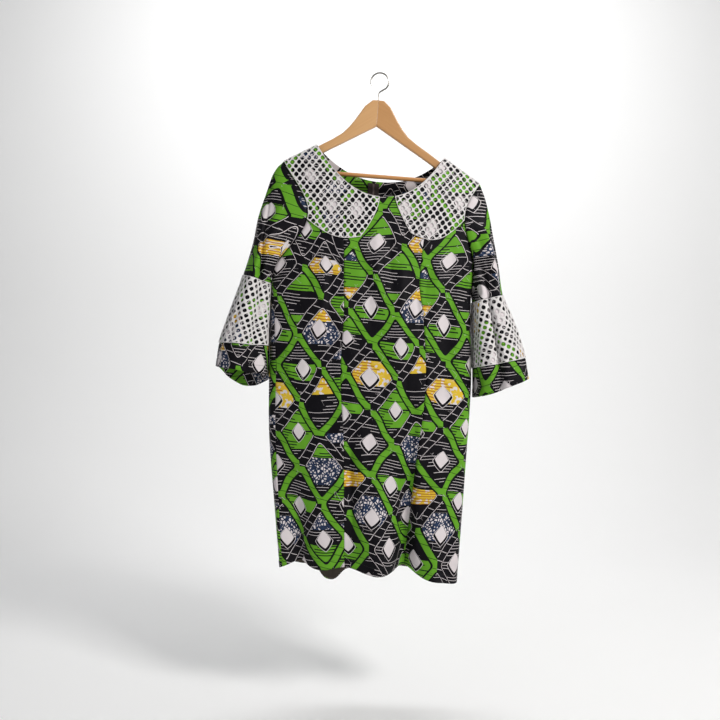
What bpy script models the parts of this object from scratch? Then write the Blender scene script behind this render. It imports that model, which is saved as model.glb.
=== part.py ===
"""Knee-length wax-print dress hanging on a wooden hanger.

The frame is metres with +Z up. The dress faces -Y, its left as seen from the
front is -X, and the origin is where a rail would bear inside the hook. The
hanger hangs tilted, so the dress is sheared down towards +X.
"""
import bpy
import bmesh
from math import atan2, cos, degrees, exp, pi, radians, sin, tan
from mathutils import Matrix, Vector

# Hang of the whole thing
HANGER_TILT = radians(4.5)
DRESS_SHEAR = tan(radians(5.0))

# Cloth
CLOTH = 0.0015
NET = 0.0010
SEAM_TRIM = 0.00018
ARMHOLE_TRIM = 0.00035
LAYER_GAP = 0.0005
YOKE_GAP = 0.0013

# Body tube. Heights are before the shear, angles are degrees round the tube:
# 0 is the front, 90 the right silhouette, 180 the back, -90 the left silhouette
HEM_HEIGHT = -1.136
BACK_HEM_HEIGHT = -1.150
RIDGE_HALF = 0.0006
SHOULDER_HALF = 0.0095
SHOULDER_ROUND = 0.0035
BODY_DROP = 0.060
WING_COS = 0.25
ROUNDNESS = 0.6

BODY_COLUMNS = ("height", "centre_x", "half_width", "half_depth", "seam_left", "seam_right",
                "princess_left", "princess_right", "centre_back")
BODY_ROWS = (
    (-0.180, 0.0020, 0.2350, 0.028, -81.0, 95.0, -26.7, 28.4, 184.0),
    (-0.300, 0.0000, 0.2350, 0.033, -81.0, 95.0, -22.0, 27.5, 184.5),
    (-0.400, -0.0120, 0.2320, 0.039, -81.0, 95.0, -18.0, 27.0, 185.5),
    (-0.484, -0.0205, 0.2270, 0.045, -81.0, 95.0, -16.0, 28.0, 186.5),
    (-0.560, -0.0225, 0.2280, 0.048, -74.0, 104.0, -15.5, 31.0, 187.0),
    (-0.700, -0.0244, 0.2300, 0.050, -68.0, 114.0, -16.8, 32.6, 188.0),
    (-0.850, -0.0295, 0.2249, 0.056, -68.0, 115.0, -14.0, 30.0, 188.0),
    (-1.000, -0.0296, 0.2133, 0.063, -68.0, 115.0, -14.6, 27.0, 187.0),
    (-1.150, -0.0296, 0.2010, 0.070, -68.0, 115.0, -15.0, 24.0, 186.0),
)

# Shoulder line of each side, from the neck point to the sleeve head
SHOULDERS = {
    "left": {"neck_x": -0.1455, "neck_z": -0.1775, "tip_x": -0.2220, "tip_z": -0.2215},
    "right": {"neck_x": 0.1455, "neck_z": -0.1820, "tip_x": 0.2275, "tip_z": -0.2350},
}
NECK_POWER = 2.2
PRINCESS_NECK_X = {"left": -0.1020, "right": 0.1140}
FRONT_NECK_LOW = -0.2890
BACK_NECK_LOW = -0.2430

# Armholes: the armpit, and how far each edge scoops in from the straight line
ARMPITS = {"left": {"angle": -81.0, "z": -0.4840}, "right": {"angle": 95.0, "z": -0.4880}}
ARMHOLES = {
    ("left", "front"): {"scoop": 33.0, "skew": 0.0},
    ("left", "back"): {"scoop": -28.0, "skew": 0.3},
    ("right", "front"): {"scoop": -46.0, "skew": 1.25},
    ("right", "back"): {"scoop": 28.0, "skew": 0.3},
}

# Folds of the skirt: outward depth at the hem, fading to nothing at the start
FOLD_COLUMNS = ("angle", "width", "depth", "start", "power")
FOLD_ROWS = (
    (-70.0, 7.0, 0.012, -0.85, 1.0),
    (-51.0, 8.5, -0.026, -0.86, 1.2),
    (-30.0, 9.0, 0.008, -0.60, 1.0),
    (-14.0, 7.0, -0.006, -0.80, 1.0),
    (5.5, 8.5, 0.017, -0.74, 1.0),
    (24.0, 8.0, -0.045, -0.72, 1.1),
    (45.0, 8.0, 0.012, -0.72, 1.0),
    (72.0, 10.0, 0.006, -0.70, 1.0),
    (130.0, 9.0, 0.012, -0.78, 1.0),
    (152.0, 8.0, -0.020, -0.80, 1.1),
    (172.0, 8.0, 0.010, -0.74, 1.0),
    (190.0, 7.0, -0.012, -0.85, 1.0),
    (208.0, 9.0, 0.018, -0.72, 1.0),
    (232.0, 8.0, -0.018, -0.80, 1.1),
    (252.0, 8.0, 0.010, -0.76, 1.0),
)
# Soft drapes of the upper body: they swell and fade between two heights
DRAPE_COLUMNS = ("angle", "width", "depth", "top", "foot")
DRAPE_ROWS = (
    (-40.0, 10.0, 0.005, -0.40, -0.86),
    (14.0, 9.0, 0.004, -0.36, -0.80),
    (48.0, 8.0, -0.005, -0.42, -0.84),
    (148.0, 11.0, 0.005, -0.38, -0.82),
    (214.0, 11.0, 0.005, -0.38, -0.84),
)
# Rise and fall of the hem edge, and how the front's height passes into the back's
HEM_FRONT_ANGLE = 20.0
HEM_TURN = 0.5
HEM_TURN_WIDTH = 0.9
HEM_COLUMNS = ("angle", "width", "lift")
HEM_ROWS = (
    (-51.0, 12.0, 0.014),
    (-14.0, 10.0, 0.009),
    (24.0, 10.0, 0.022),
    (68.0, 26.0, -0.009),
    (152.0, 14.0, 0.010),
    (206.0, 11.0, -0.034),
    (232.0, 10.0, 0.008),
)

# Sleeves, one row a section from the armhole to the cuff's edge. Outer is the
# silhouette, inner the underarm side, front_x leans the front point, back_drop
# lowers the back
SLEEVE_COLUMNS = ("step", "outer_x", "outer_z", "inner_x", "inner_z", "inner_y", "half_depth",
                  "front_x", "back_x", "back_drop")
SLEEVE_ROWS = {
    "left": (
        (0, -0.2220, -0.2022, -0.2447, -0.4626, -0.0226, 0.030, 0.060, 0.021, 0.000),
        (1, -0.2440, -0.2260, -0.2490, -0.4680, -0.0200, 0.037, 0.042, 0.009, 0.000),
        (2, -0.2620, -0.2750, -0.2540, -0.4720, -0.0160, 0.044, 0.026, 0.000, 0.000),
        (3, -0.2800, -0.3300, -0.2570, -0.4760, -0.0110, 0.050, 0.012, -0.004, 0.000),
        (4, -0.2920, -0.3900, -0.2585, -0.4800, -0.0050, 0.054, 0.004, -0.003, 0.002),
        (5, -0.3142, -0.4640, -0.2595, -0.4840, 0.0000, 0.057, 0.000, 0.000, 0.004),
        (6, -0.3326, -0.5198, -0.2600, -0.5320, 0.0000, 0.064, 0.000, 0.000, 0.010),
        (7, -0.3500, -0.5700, -0.2605, -0.5800, 0.0000, 0.070, 0.000, 0.000, 0.017),
        (8, -0.3671, -0.6187, -0.2609, -0.6256, 0.0000, 0.076, 0.000, 0.000, 0.024),
        (9, -0.3763, -0.6716, -0.2612, -0.6831, 0.0000, 0.079, 0.000, 0.000, 0.034),
    ),
    "right": (
        (0, 0.2275, -0.2549, 0.2056, -0.5060, 0.0186, 0.030, -0.028, -0.026, 0.000),
        (1, 0.2400, -0.2900, 0.2088, -0.5105, 0.0160, 0.037, -0.018, -0.016, 0.000),
        (2, 0.2500, -0.3330, 0.2106, -0.5145, 0.0120, 0.043, -0.010, -0.008, 0.000),
        (3, 0.2590, -0.3850, 0.2118, -0.5185, 0.0080, 0.049, -0.004, -0.002, 0.000),
        (4, 0.2690, -0.4430, 0.2124, -0.5225, 0.0035, 0.053, 0.000, 0.000, 0.000),
        (5, 0.2792, -0.5106, 0.2128, -0.5265, 0.0000, 0.057, 0.000, 0.000, 0.000),
        (6, 0.3010, -0.5650, 0.2130, -0.5790, 0.0000, 0.063, 0.000, 0.000, 0.004),
        (7, 0.3150, -0.6050, 0.2132, -0.6270, 0.0000, 0.069, 0.000, 0.000, 0.008),
        (8, 0.3298, -0.6532, 0.2134, -0.6760, 0.0000, 0.074, 0.000, 0.000, 0.012),
        (9, 0.3379, -0.6992, 0.2136, -0.7430, 0.0000, 0.077, 0.000, 0.000, 0.016),
    ),
}
CUFF_EDGE_STEP = 9.0
# Folds along each sleeve: where round it at the two ends, and how deep
SLEEVE_FOLD_COLUMNS = ("angle", "end_angle", "width", "depth", "first", "last")
SLEEVE_FOLD_ROWS = {
    "left": (
        (44.0, 118.0, 13.0, -0.009, 0.6, 9.5),
        (78.0, 78.0, 14.0, 0.006, 1.5, 9.5),
        (150.0, 150.0, 13.0, 0.005, 4.5, 9.5),
        (215.0, 215.0, 15.0, 0.006, 4.5, 9.5),
        (262.0, 262.0, 14.0, -0.008, 3.5, 9.5),
        (310.0, 310.0, 15.0, 0.006, 3.0, 9.5),
    ),
    "right": (
        (50.0, 62.0, 12.0, 0.006, 0.8, 9.5),
        (96.0, 100.0, 12.0, -0.010, 1.5, 9.5),
        (132.0, 132.0, 12.0, 0.007, 4.0, 9.5),
        (220.0, 220.0, 14.0, 0.006, 4.0, 9.5),
        (268.0, 268.0, 14.0, -0.008, 3.5, 9.5),
        (312.0, 312.0, 15.0, 0.006, 3.0, 9.5),
    ),
}

# Net yokes on the front shoulders: where each leaves the neckline, its lower
# inner corner, its end on the armhole, and the sag of its lower edge
YOKES = {
    "left": {"neck_x": -0.0014, "low_x": -0.0455, "low_z": -0.3860, "bow": 1.6,
             "armhole_t": 0.51, "sag": 0.0185},
    "right": {"neck_x": 0.0308, "low_x": 0.0653, "low_z": -0.3670, "bow": 1.4,
              "armhole_t": 0.36, "sag": 0.0300},
}
YOKE_INSET = 0.0012
YOKE_INNER_INSET = 0.0004
YOKE_NECK_SHARE = 0.55
NET_INSET = 0.0006

# Zip in the centre back
ZIP_FOOT = -0.640
ZIP_HEAD_DROP = 0.004
TAPE_WIDTH = 0.0125
TAPE_THICK = 0.0010
TAPE_GAP = 0.0009
TAPE_CENTRE_GAP = 0.0004
SLIDER_DROP = 0.020
SLIDER = {"width": 0.0076, "length": 0.0105, "height": 0.0028, "bevel": 0.0007}
PIN_RADIUS = 0.0006
PIN_LIFT = 0.0030
EAR = {"thick": 0.0011, "inner_x": 0.0016, "length": 0.0026, "over_pin": 0.0011}
PULL = {"length": 0.0250, "width": 0.0070, "thick": 0.0014, "eye_depth": 0.0042, "eye_length": 0.0052,
        "eye_drop": 0.0005, "eye_bevel": 0.0009, "blade_top": -0.0029, "blade_bevel": 0.0005}
FIT_GAP = 0.0003

# Hanger, in its own upright frame
WOOD = 0.012
WOOD_EDGE = 0.0028
BAR_RADIUS = 0.00475
BAR_HEIGHT = -0.2366
BAR_HALF = 0.1893
HOOK_WIRE = 0.0019
HOOK_RADIUS = 0.0205
HOOK_STEM_FOOT = -0.0617
HOOK_STEM_TOP = -0.0470
HOOK_START = radians(-38.0)
HOOK_END = radians(212.0)
HOOK_EASE = 0.022
ARM_COLUMNS = ("x", "upper", "lower")
ARM_ROWS = (
    (0.0001, -0.0620, -0.1220),
    (0.0130, -0.0626, -0.1298),
    (0.0300, -0.0775, -0.1398),
    (0.0400, -0.0945, -0.1457),
    (0.0500, -0.1105, -0.1518),
    (0.0620, -0.1275, -0.1590),
    (0.0760, -0.1430, -0.1673),
    (0.0970, -0.1580, -0.1795),
    (0.1240, -0.1745, -0.1960),
    (0.1460, -0.1887, -0.2100),
    (0.1660, -0.2010, -0.2215),
    (0.1896, -0.2160, -0.2285),
)
ARM_END = ((0.1896, -0.2445), (0.2030, -0.2445), (0.2105, -0.2400), (0.2125, -0.2330),
           (0.2080, -0.2275), (0.1990, -0.2218))

# Mesh density
ARM_STEPS = 12
SKIRT_STEPS = 12
SEAM_EASE = 3.0
PANEL_COLUMNS = {"front_centre": 10, "front_side_left": 10, "front_side_right": 12,
                 "back_left": 13, "back_right": 10}
# Share of each panel's top edge that is neckline, up to the neck point
NECK_SHARES = {"front_side_left": 0.5, "front_side_right": 4.0 / 12.0,
               "back_left": 7.0 / 13.0, "back_right": 0.6}
SLEEVE_UPPER_STEPS = (0.0, 0.4, 0.9, 1.5, 2.2, 3.0, 3.9, 5.0)
SLEEVE_FLOUNCE_STEPS = (5.0, 5.6, 6.2, 6.8, 7.4, 8.0)
SLEEVE_CUFF_STEPS = (8.0, 8.5, 9.0)
HOOK_STEPS = 22
HOOK_EASE_STEPS = 7
YOKE_ROWS = 12
YOKE_ROW_POWER = 2.2
YOKE_ACROSS = 8
TAPE_ROWS = 14
SAMPLE_ANGLE = 0.6
SAMPLE_HEIGHT = 0.0015

COLOURS = {
    "print_green": ((0.11, 0.34, 0.02), 0.55),
    "print_dark": ((0.03, 0.05, 0.04), 0.60),
    "net_white": ((0.78, 0.72, 0.72), 0.75),
    "tape": ((0.05, 0.04, 0.04), 0.70),
    "metal": ((0.60, 0.58, 0.55), 0.30),
    "wood_light": ((0.62, 0.40, 0.20), 0.45),
    "wood_dark": ((0.50, 0.30, 0.13), 0.45),
}


def clear_scene():
    for item in list(bpy.data.objects):
        bpy.data.objects.remove(item, do_unlink=True)


def named_rows(columns, rows):
    return [dict(zip(columns, row)) for row in rows]


BODY = named_rows(BODY_COLUMNS, BODY_ROWS)
FOLDS = named_rows(FOLD_COLUMNS, FOLD_ROWS)
DRAPES = named_rows(DRAPE_COLUMNS, DRAPE_ROWS)
HEM = named_rows(HEM_COLUMNS, HEM_ROWS)
SLEEVES = {side: named_rows(SLEEVE_COLUMNS, rows) for side, rows in SLEEVE_ROWS.items()}
SLEEVE_FOLDS = {side: named_rows(SLEEVE_FOLD_COLUMNS, rows) for side, rows in SLEEVE_FOLD_ROWS.items()}
ARM = named_rows(ARM_COLUMNS, ARM_ROWS)


def lerp(start, end, share):
    return start + (end - start) * share


def smoothstep(value):
    value = min(1.0, max(0.0, value))
    return value * value * (3.0 - 2.0 * value)


def easing_out(value):
    return 1.0 - (1.0 - value) ** 2


def lookup(rows, key, place, column):
    """Smooth value of a column at a place along the key column."""
    keys = [row[key] for row in rows]
    if keys[0] > keys[-1]:
        keys = [-value for value in keys]
        place = -place
    place = min(max(place, keys[0]), keys[-1])
    index = max(i for i in range(len(keys) - 1) if keys[i] <= place or i == 0)
    values = [row[column] for row in rows]

    def slope(i):
        low, high = max(0, i - 1), min(len(keys) - 1, i + 1)
        return (values[high] - values[low]) / (keys[high] - keys[low])

    width = keys[index + 1] - keys[index]
    t = (place - keys[index]) / width
    return ((2 * t**3 - 3 * t**2 + 1) * values[index] + (t**3 - 2 * t**2 + t) * width * slope(index)
            + (3 * t**2 - 2 * t**3) * values[index + 1] + (t**3 - t**2) * width * slope(index + 1))


def ring(height, column):
    return lookup(BODY, "height", height, column)


def turn_between(angle, centre):
    """Signed degrees from the centre to the angle, the short way round."""
    return (angle - centre + 180.0) % 360.0 - 180.0


def bump(angle, row):
    return exp(-(turn_between(angle, row["angle"]) / row["width"]) ** 2)


def shoulder_height(x):
    """Height of the line that the cloth folds over, at this x."""
    left, right = SHOULDERS["left"], SHOULDERS["right"]
    if x < left["neck_x"]:
        side = left
    elif x > right["neck_x"]:
        side = right
    else:
        share = (x - left["neck_x"]) / (right["neck_x"] - left["neck_x"])
        return lerp(left["neck_z"], right["neck_z"], share)
    slope = (side["tip_z"] - side["neck_z"]) / (side["tip_x"] - side["neck_x"])
    return side["neck_z"] + slope * (x - side["neck_x"])


def fold_depth(angle, height):
    depth = 0.0
    for row in FOLDS:
        grown = max(0.0, (row["start"] - height) / (row["start"] - HEM_HEIGHT))
        depth += row["depth"] * bump(angle, row) * smoothstep(grown) ** row["power"]
    for row in DRAPES:
        place = (row["top"] - height) / (row["top"] - row["foot"])
        if 0.0 < place < 1.0:
            depth += row["depth"] * bump(angle, row) * sin(pi * place) ** 2
    return depth


def body_point(angle, height):
    """Middle of the body's cloth, from the angle round it and the unsheared height."""
    across, along = sin(radians(angle)), cos(radians(angle))
    x = ring(height, "centre_x") + ring(height, "half_width") * across
    drop = max(0.0, shoulder_height(x) - height)
    wing = min(1.0, abs(along) / WING_COS) ** 0.5
    depth = RIDGE_HALF + SHOULDER_HALF * (1.0 - exp(-drop / SHOULDER_ROUND)) * wing
    depth += ring(height, "half_depth") * abs(along) ** ROUNDNESS * (1.0 - exp(-drop / BODY_DROP))
    fold = fold_depth(angle, height)
    depth += fold * abs(along) ** 0.5
    x += fold * 0.5 * across * abs(across)
    y = -depth if along >= 0.0 else depth
    return Vector((x, y, height - DRESS_SHEAR * x))


def body_normal(angle, height):
    across = body_point(angle + SAMPLE_ANGLE, height) - body_point(angle - SAMPLE_ANGLE, height)
    down = body_point(angle, height - 2.0 * SAMPLE_HEIGHT) - body_point(angle, height)
    return down.cross(across).normalized()


def angle_at(x, height, back=False):
    """Angle round the tube of a point at x on the front, or on the back."""
    share = (x - ring(height, "centre_x")) / ring(height, "half_width")
    share = min(0.9999, max(-0.9999, share))
    front = degrees(atan2(share, (1.0 - share * share) ** 0.5))
    return 180.0 - front if back else front


def spot(x, height, back=False):
    return Vector((angle_at(x, height, back), height))


def neckline(x, back=False):
    """Height of the neck edge at x."""
    side = SHOULDERS["left"] if x < 0.0 else SHOULDERS["right"]
    low = BACK_NECK_LOW if back else FRONT_NECK_LOW
    reach = min(1.0, abs(x / side["neck_x"]))
    return low + (side["neck_z"] - low) * reach ** NECK_POWER


def shoulder_spot(side, share, back=False):
    row = SHOULDERS[side]
    return spot(lerp(row["neck_x"], row["tip_x"], share), lerp(row["neck_z"], row["tip_z"], share), back)


def unwrap_near(spot_value, angle):
    """The same place with its angle written within half a turn of the one given."""
    return Vector((angle + turn_between(spot_value.x, angle), spot_value.y))


def armhole(side, face, share):
    """Edge of the armhole from the shoulder tip to the armpit."""
    pit = ARMPITS[side]
    row = ARMHOLES[(side, face)]
    tip = unwrap_near(shoulder_spot(side, 1.0, face == "back"), pit["angle"])
    scoop = row["scoop"] * sin(pi * share) * exp(-row["skew"] * share)
    return Vector((lerp(tip.x, pit["angle"], share) + scoop, lerp(tip.y, pit["z"], share)))


def arm_share(step):
    return (1.0 - cos(pi * step / ARM_STEPS)) / 2.0


def hem_height(angle):
    front_share = smoothstep((cos(radians(angle - HEM_FRONT_ANGLE)) + HEM_TURN) / HEM_TURN_WIDTH)
    return lerp(BACK_HEM_HEIGHT, HEM_HEIGHT, front_share) + sum(row["lift"] * bump(angle, row) for row in HEM)


def seam_line(column, top, step):
    """A seam from its top spot to the hem, level with the armhole's steps above the armpit."""
    pit_z = (ARMPITS["left"]["z"] + ARMPITS["right"]["z"]) / 2.0
    if step <= ARM_STEPS:
        share = arm_share(step)
        height = lerp(top.y, pit_z, share)
        return Vector((lerp(top.x, ring(height, column), smoothstep(share * SEAM_EASE)), height))
    share = (step - ARM_STEPS) / SKIRT_STEPS
    hem_angle = ring(HEM_HEIGHT, column)
    height = lerp(pit_z, hem_height(hem_angle), share)
    return Vector((ring(height, column), height))


def side_line(side, face, step):
    """Outer edge of a panel: armhole, then side seam."""
    if step <= ARM_STEPS:
        return armhole(side, face, arm_share(step))
    column = "seam_" + side
    share = (step - ARM_STEPS) / SKIRT_STEPS
    height = lerp(ARMPITS[side]["z"], hem_height(ring(HEM_HEIGHT, column)), share)
    return Vector((ring(height, column), height))


def coons(left, right, top, bottom, u, v):
    """Point of the patch inside four edge curves, in angle and height."""
    corners = lerp(lerp(left(0.0), right(0.0), u), lerp(left(1.0), right(1.0), u), v)
    return lerp(left(v), right(v), u) + lerp(top(u), bottom(u), v) - corners


def panel_grid(left, right, top, across):
    """Rows of spots between two seams that are given by step, under a top curve."""
    steps = ARM_STEPS + SKIRT_STEPS
    rows = []
    for step in range(steps + 1):
        row = []
        v = step / steps
        for column in range(across + 1):
            u = column / across
            fade = 1.0 - smoothstep(step / ARM_STEPS)
            top_share = (top(u).x - left(0).x) / (right(0).x - left(0).x)
            here = lerp(left(step), right(step), lerp(u, top_share, fade))
            top_lift = top(u).y - lerp(left(0).y, right(0).y, top_share)
            low_angle = lerp(left(steps).x, right(steps).x, u)
            low_lift = hem_height(low_angle) - lerp(left(steps).y, right(steps).y, u)
            grow = smoothstep((v - 0.5) / 0.5)
            row.append(here + Vector((0.0, top_lift * fade + low_lift * grow)))
        rows.append(row)
    return rows


def trim_edges(points, sides, amounts):
    """Draw the named edges of a grid back from their seams."""
    count, last = len(points), len(points[0]) - 1
    moved = [list(row) for row in points]
    if "top" in sides:
        for i, value in enumerate(points[0]):
            moved[0][i] = value + (points[1][i] - value).normalized() * amounts.get("top", SEAM_TRIM)
    if "bottom" in sides:
        for i, value in enumerate(points[-1]):
            moved[-1][i] = value + (points[-2][i] - value).normalized() * amounts.get("bottom", SEAM_TRIM)
    for k in range(count):
        if "left" in sides:
            step = (points[k][1] - points[k][0]).normalized()
            moved[k][0] = moved[k][0] + step * amounts.get("left", SEAM_TRIM)
        if "right" in sides:
            step = (points[k][last - 1] - points[k][last]).normalized()
            moved[k][last] = moved[k][last] + step * amounts.get("right", SEAM_TRIM)
    return moved


def wall(name, points, offsets, material, closed=False):
    """Closed cloth wall round a grid of middle points, each with its half-thickness vector."""
    rows, across = len(points), len(points[0])
    mesh = bmesh.new()
    faces = {}
    for side in (1.0, -1.0):
        faces[side] = [[mesh.verts.new(points[k][i] + offsets[k][i] * side) for i in range(across)]
                       for k in range(rows)]
    spans = across if closed else across - 1
    for k in range(rows - 1):
        for i in range(spans):
            j = (i + 1) % across
            for side in (1.0, -1.0):
                grid = faces[side]
                quad = (grid[k][i], grid[k][j], grid[k + 1][j], grid[k + 1][i])
                mesh.faces.new(quad if side > 0.0 else quad[::-1])
    for k in (0, rows - 1):
        for i in range(spans):
            j = (i + 1) % across
            mesh.faces.new((faces[1.0][k][i], faces[-1.0][k][i], faces[-1.0][k][j], faces[1.0][k][j]))
    if not closed:
        for i in (0, across - 1):
            for k in range(rows - 1):
                mesh.faces.new((faces[1.0][k][i], faces[1.0][k + 1][i],
                                faces[-1.0][k + 1][i], faces[-1.0][k][i]))
    bmesh.ops.triangulate(mesh, faces=mesh.faces[:])
    bmesh.ops.recalc_face_normals(mesh, faces=mesh.faces[:])
    data = bpy.data.meshes.new(name)
    mesh.to_mesh(data)
    mesh.free()
    data.shade_smooth()
    data.set_sharp_from_angle(angle=radians(50.0))
    return place(name, data, material)


def place(name, data, material):
    item = bpy.data.objects.new(name, data)
    item.data.materials.append(MATERIALS[material])
    PARTS.objects.link(item)
    return item


def mitre(first, second, thick):
    """Half-thickness vector shared by two walls that meet at an edge."""
    middle = (first + second).normalized()
    return middle * (thick / 2.0) / max(0.5, middle.dot(first))


def body_grid(spots):
    return [[body_point(value.x, value.y) for value in row] for row in spots]


def body_normals(spots):
    return [[body_normal(value.x, value.y) for value in row] for row in spots]


def sleeve_row(side, step, column):
    return lookup(SLEEVES[side], "step", step, column)


def sleeve_oval(side, step, angle):
    outer = Vector((sleeve_row(side, step, "outer_x"), 0.0, sleeve_row(side, step, "outer_z")))
    inner = Vector((sleeve_row(side, step, "inner_x"), 0.0, sleeve_row(side, step, "inner_z")))
    across, along = sin(radians(angle)), cos(radians(angle))
    point = (outer + inner) / 2.0 + (outer - inner) / 2.0 * along
    point.x += sleeve_row(side, step, "front_x" if across > 0.0 else "back_x") * across * across
    point.y += sleeve_row(side, step, "inner_y") * ((1.0 - along) / 2.0) ** 2
    point.y -= sleeve_row(side, step, "half_depth") * across
    if across < 0.0:
        point.z -= sleeve_row(side, step, "back_drop") * across * across
    return point


def armhole_ring(side, angle):
    """The armhole's edge at an angle round the sleeve: front half, then back half."""
    angle %= 360.0
    face = "front" if angle <= 180.0 else "back"
    half = angle if angle <= 180.0 else 360.0 - angle
    share = (1.0 - cos(radians(half))) / 2.0
    value = armhole(side, face, share)
    return body_point(value.x, value.y)


def sleeve_fold(side, step, angle):
    depth = 0.0
    for row in SLEEVE_FOLDS[side]:
        share = smoothstep((step - row["first"]) / 2.0) if step < row["last"] else 0.0
        centre = lerp(row["angle"], row["end_angle"], smoothstep((step - 1.0) / 5.0))
        depth += row["depth"] * share * exp(-(turn_between(angle, centre) / row["width"]) ** 2)
    return depth


def sleeve_point(side, step, angle):
    point = sleeve_oval(side, step, angle)
    hold = 1.0 - smoothstep(step / 2.0)
    if hold > 0.0:
        point += (armhole_ring(side, angle) - sleeve_oval(side, 0.0, angle)) * hold
    fold = sleeve_fold(side, step, angle)
    if fold:
        away = sleeve_oval(side, step, angle) - sleeve_oval(side, step, angle + 180.0)
        point += away.normalized() * fold
    return point


def sleeve_normal(side, step, angle):
    round_way = sleeve_point(side, step, angle + 3.0) - sleeve_point(side, step, angle - 3.0)
    low, high = max(0.0, step - 0.08), min(CUFF_EDGE_STEP, step + 0.08)
    down = sleeve_point(side, high, angle) - sleeve_point(side, low, angle)
    normal = round_way.cross(down).normalized()
    return -normal if side == "left" else normal


def sleeve_angles():
    return [180.0 * i / ARM_STEPS for i in range(2 * ARM_STEPS)]


def sleeve_grid(side, steps):
    return [[sleeve_point(side, step, angle) for angle in sleeve_angles()] for step in steps]


def sleeve_normals(side, steps):
    return [[sleeve_normal(side, step, angle) for angle in sleeve_angles()] for step in steps]


def scaled(normals, length):
    return [[value * length for value in row] for row in normals]


def make_materials():
    made = {}
    for name, (colour, roughness) in COLOURS.items():
        material = bpy.data.materials.new(name)
        material.use_nodes = True
        shader = material.node_tree.nodes["Principled BSDF"]
        shader.inputs["Base Color"].default_value = (*colour, 1.0)
        shader.inputs["Roughness"].default_value = roughness
        shader.inputs["Metallic"].default_value = 1.0 if name == "metal" else 0.0
        made[name] = material
    return made


def armhole_mitres(side, face, spots_column):
    """Shared half-thickness vectors along one edge of the armhole."""
    vectors = []
    for step in range(ARM_STEPS + 1):
        angle = 180.0 * step / ARM_STEPS
        if face == "back":
            angle = 360.0 - angle
        value = spots_column[step]
        vectors.append(mitre(body_normal(value.x, value.y), sleeve_normal(side, 0.0, angle), CLOTH))
    return vectors


def make_body_panel(name, left, right, top, material, armhole_edge=None):
    across = PANEL_COLUMNS[name]
    spots = panel_grid(left, right, top, across)
    points = body_grid(spots)
    offsets = scaled(body_normals(spots), CLOTH / 2.0)
    amounts = {}
    if armhole_edge:
        side, face, edge = armhole_edge
        column = 0 if edge == "left" else across
        for step, vector in enumerate(armhole_mitres(side, face, [row[column] for row in spots])):
            offsets[step][column] = vector
        amounts[edge] = ARMHOLE_TRIM
    points = trim_edges(points, ("left", "right"), amounts)
    return wall(name, points, offsets, material)


def make_front():
    left_x, right_x = PRINCESS_NECK_X["left"], PRINCESS_NECK_X["right"]
    neck_left = spot(left_x, neckline(left_x))
    neck_right = spot(right_x, neckline(right_x))

    def princess_left(step):
        return seam_line("princess_left", neck_left, step)

    def princess_right(step):
        return seam_line("princess_right", neck_right, step)

    def neck_curve(u):
        x = lerp(left_x, right_x, u)
        return spot(x, neckline(x))

    make_body_panel("front_centre", princess_left, princess_right, neck_curve, "print_green")

    def top_of(side, u, seam_x, inner_share):
        """Neck edge from the princess seam to the neck point, then the shoulder seam."""
        row = SHOULDERS[side]
        if u < inner_share:
            x = lerp(seam_x, row["neck_x"], easing_out(u / inner_share))
            return spot(x, neckline(x))
        return shoulder_spot(side, (u - inner_share) / (1.0 - inner_share))

    make_body_panel("front_side_left",
                    lambda step: side_line("left", "front", step), princess_left,
                    lambda u: top_of("left", 1.0 - u, left_x, NECK_SHARES["front_side_left"]), "print_dark",
                    ("left", "front", "left"))
    make_body_panel("front_side_right",
                    princess_right, lambda step: side_line("right", "front", step),
                    lambda u: top_of("right", u, right_x, NECK_SHARES["front_side_right"]), "print_dark",
                    ("right", "front", "right"))


def centre_back_line(step):
    top_angle = ring(BACK_NECK_LOW, "centre_back")
    top = Vector((top_angle, neckline(body_point(top_angle, BACK_NECK_LOW).x, True)))
    return seam_line("centre_back", top, step)


def make_back():
    def top_of(side, u, near_angle, neck_share):
        """Neck edge from the centre back to the neck point, then the shoulder seam."""
        row = SHOULDERS[side]
        start = centre_back_line(0)
        if u < neck_share:
            start_x = body_point(start.x, start.y).x
            x = lerp(start_x, row["neck_x"], easing_out(u / neck_share))
            value = spot(x, neckline(x, True), True)
        else:
            value = shoulder_spot(side, (u - neck_share) / (1.0 - neck_share), True)
        return unwrap_near(value, near_angle)

    def left_side(step):
        value = side_line("left", "back", step)
        return Vector((value.x + 360.0, value.y))

    make_body_panel("back_left", centre_back_line, left_side,
                    lambda u: top_of("left", u, 240.0, NECK_SHARES["back_left"]), "print_green",
                    ("left", "back", "right"))
    make_body_panel("back_right", lambda step: side_line("right", "back", step), centre_back_line,
                    lambda u: top_of("right", 1.0 - u, 130.0, NECK_SHARES["back_right"]), "print_green",
                    ("right", "back", "left"))


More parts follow.
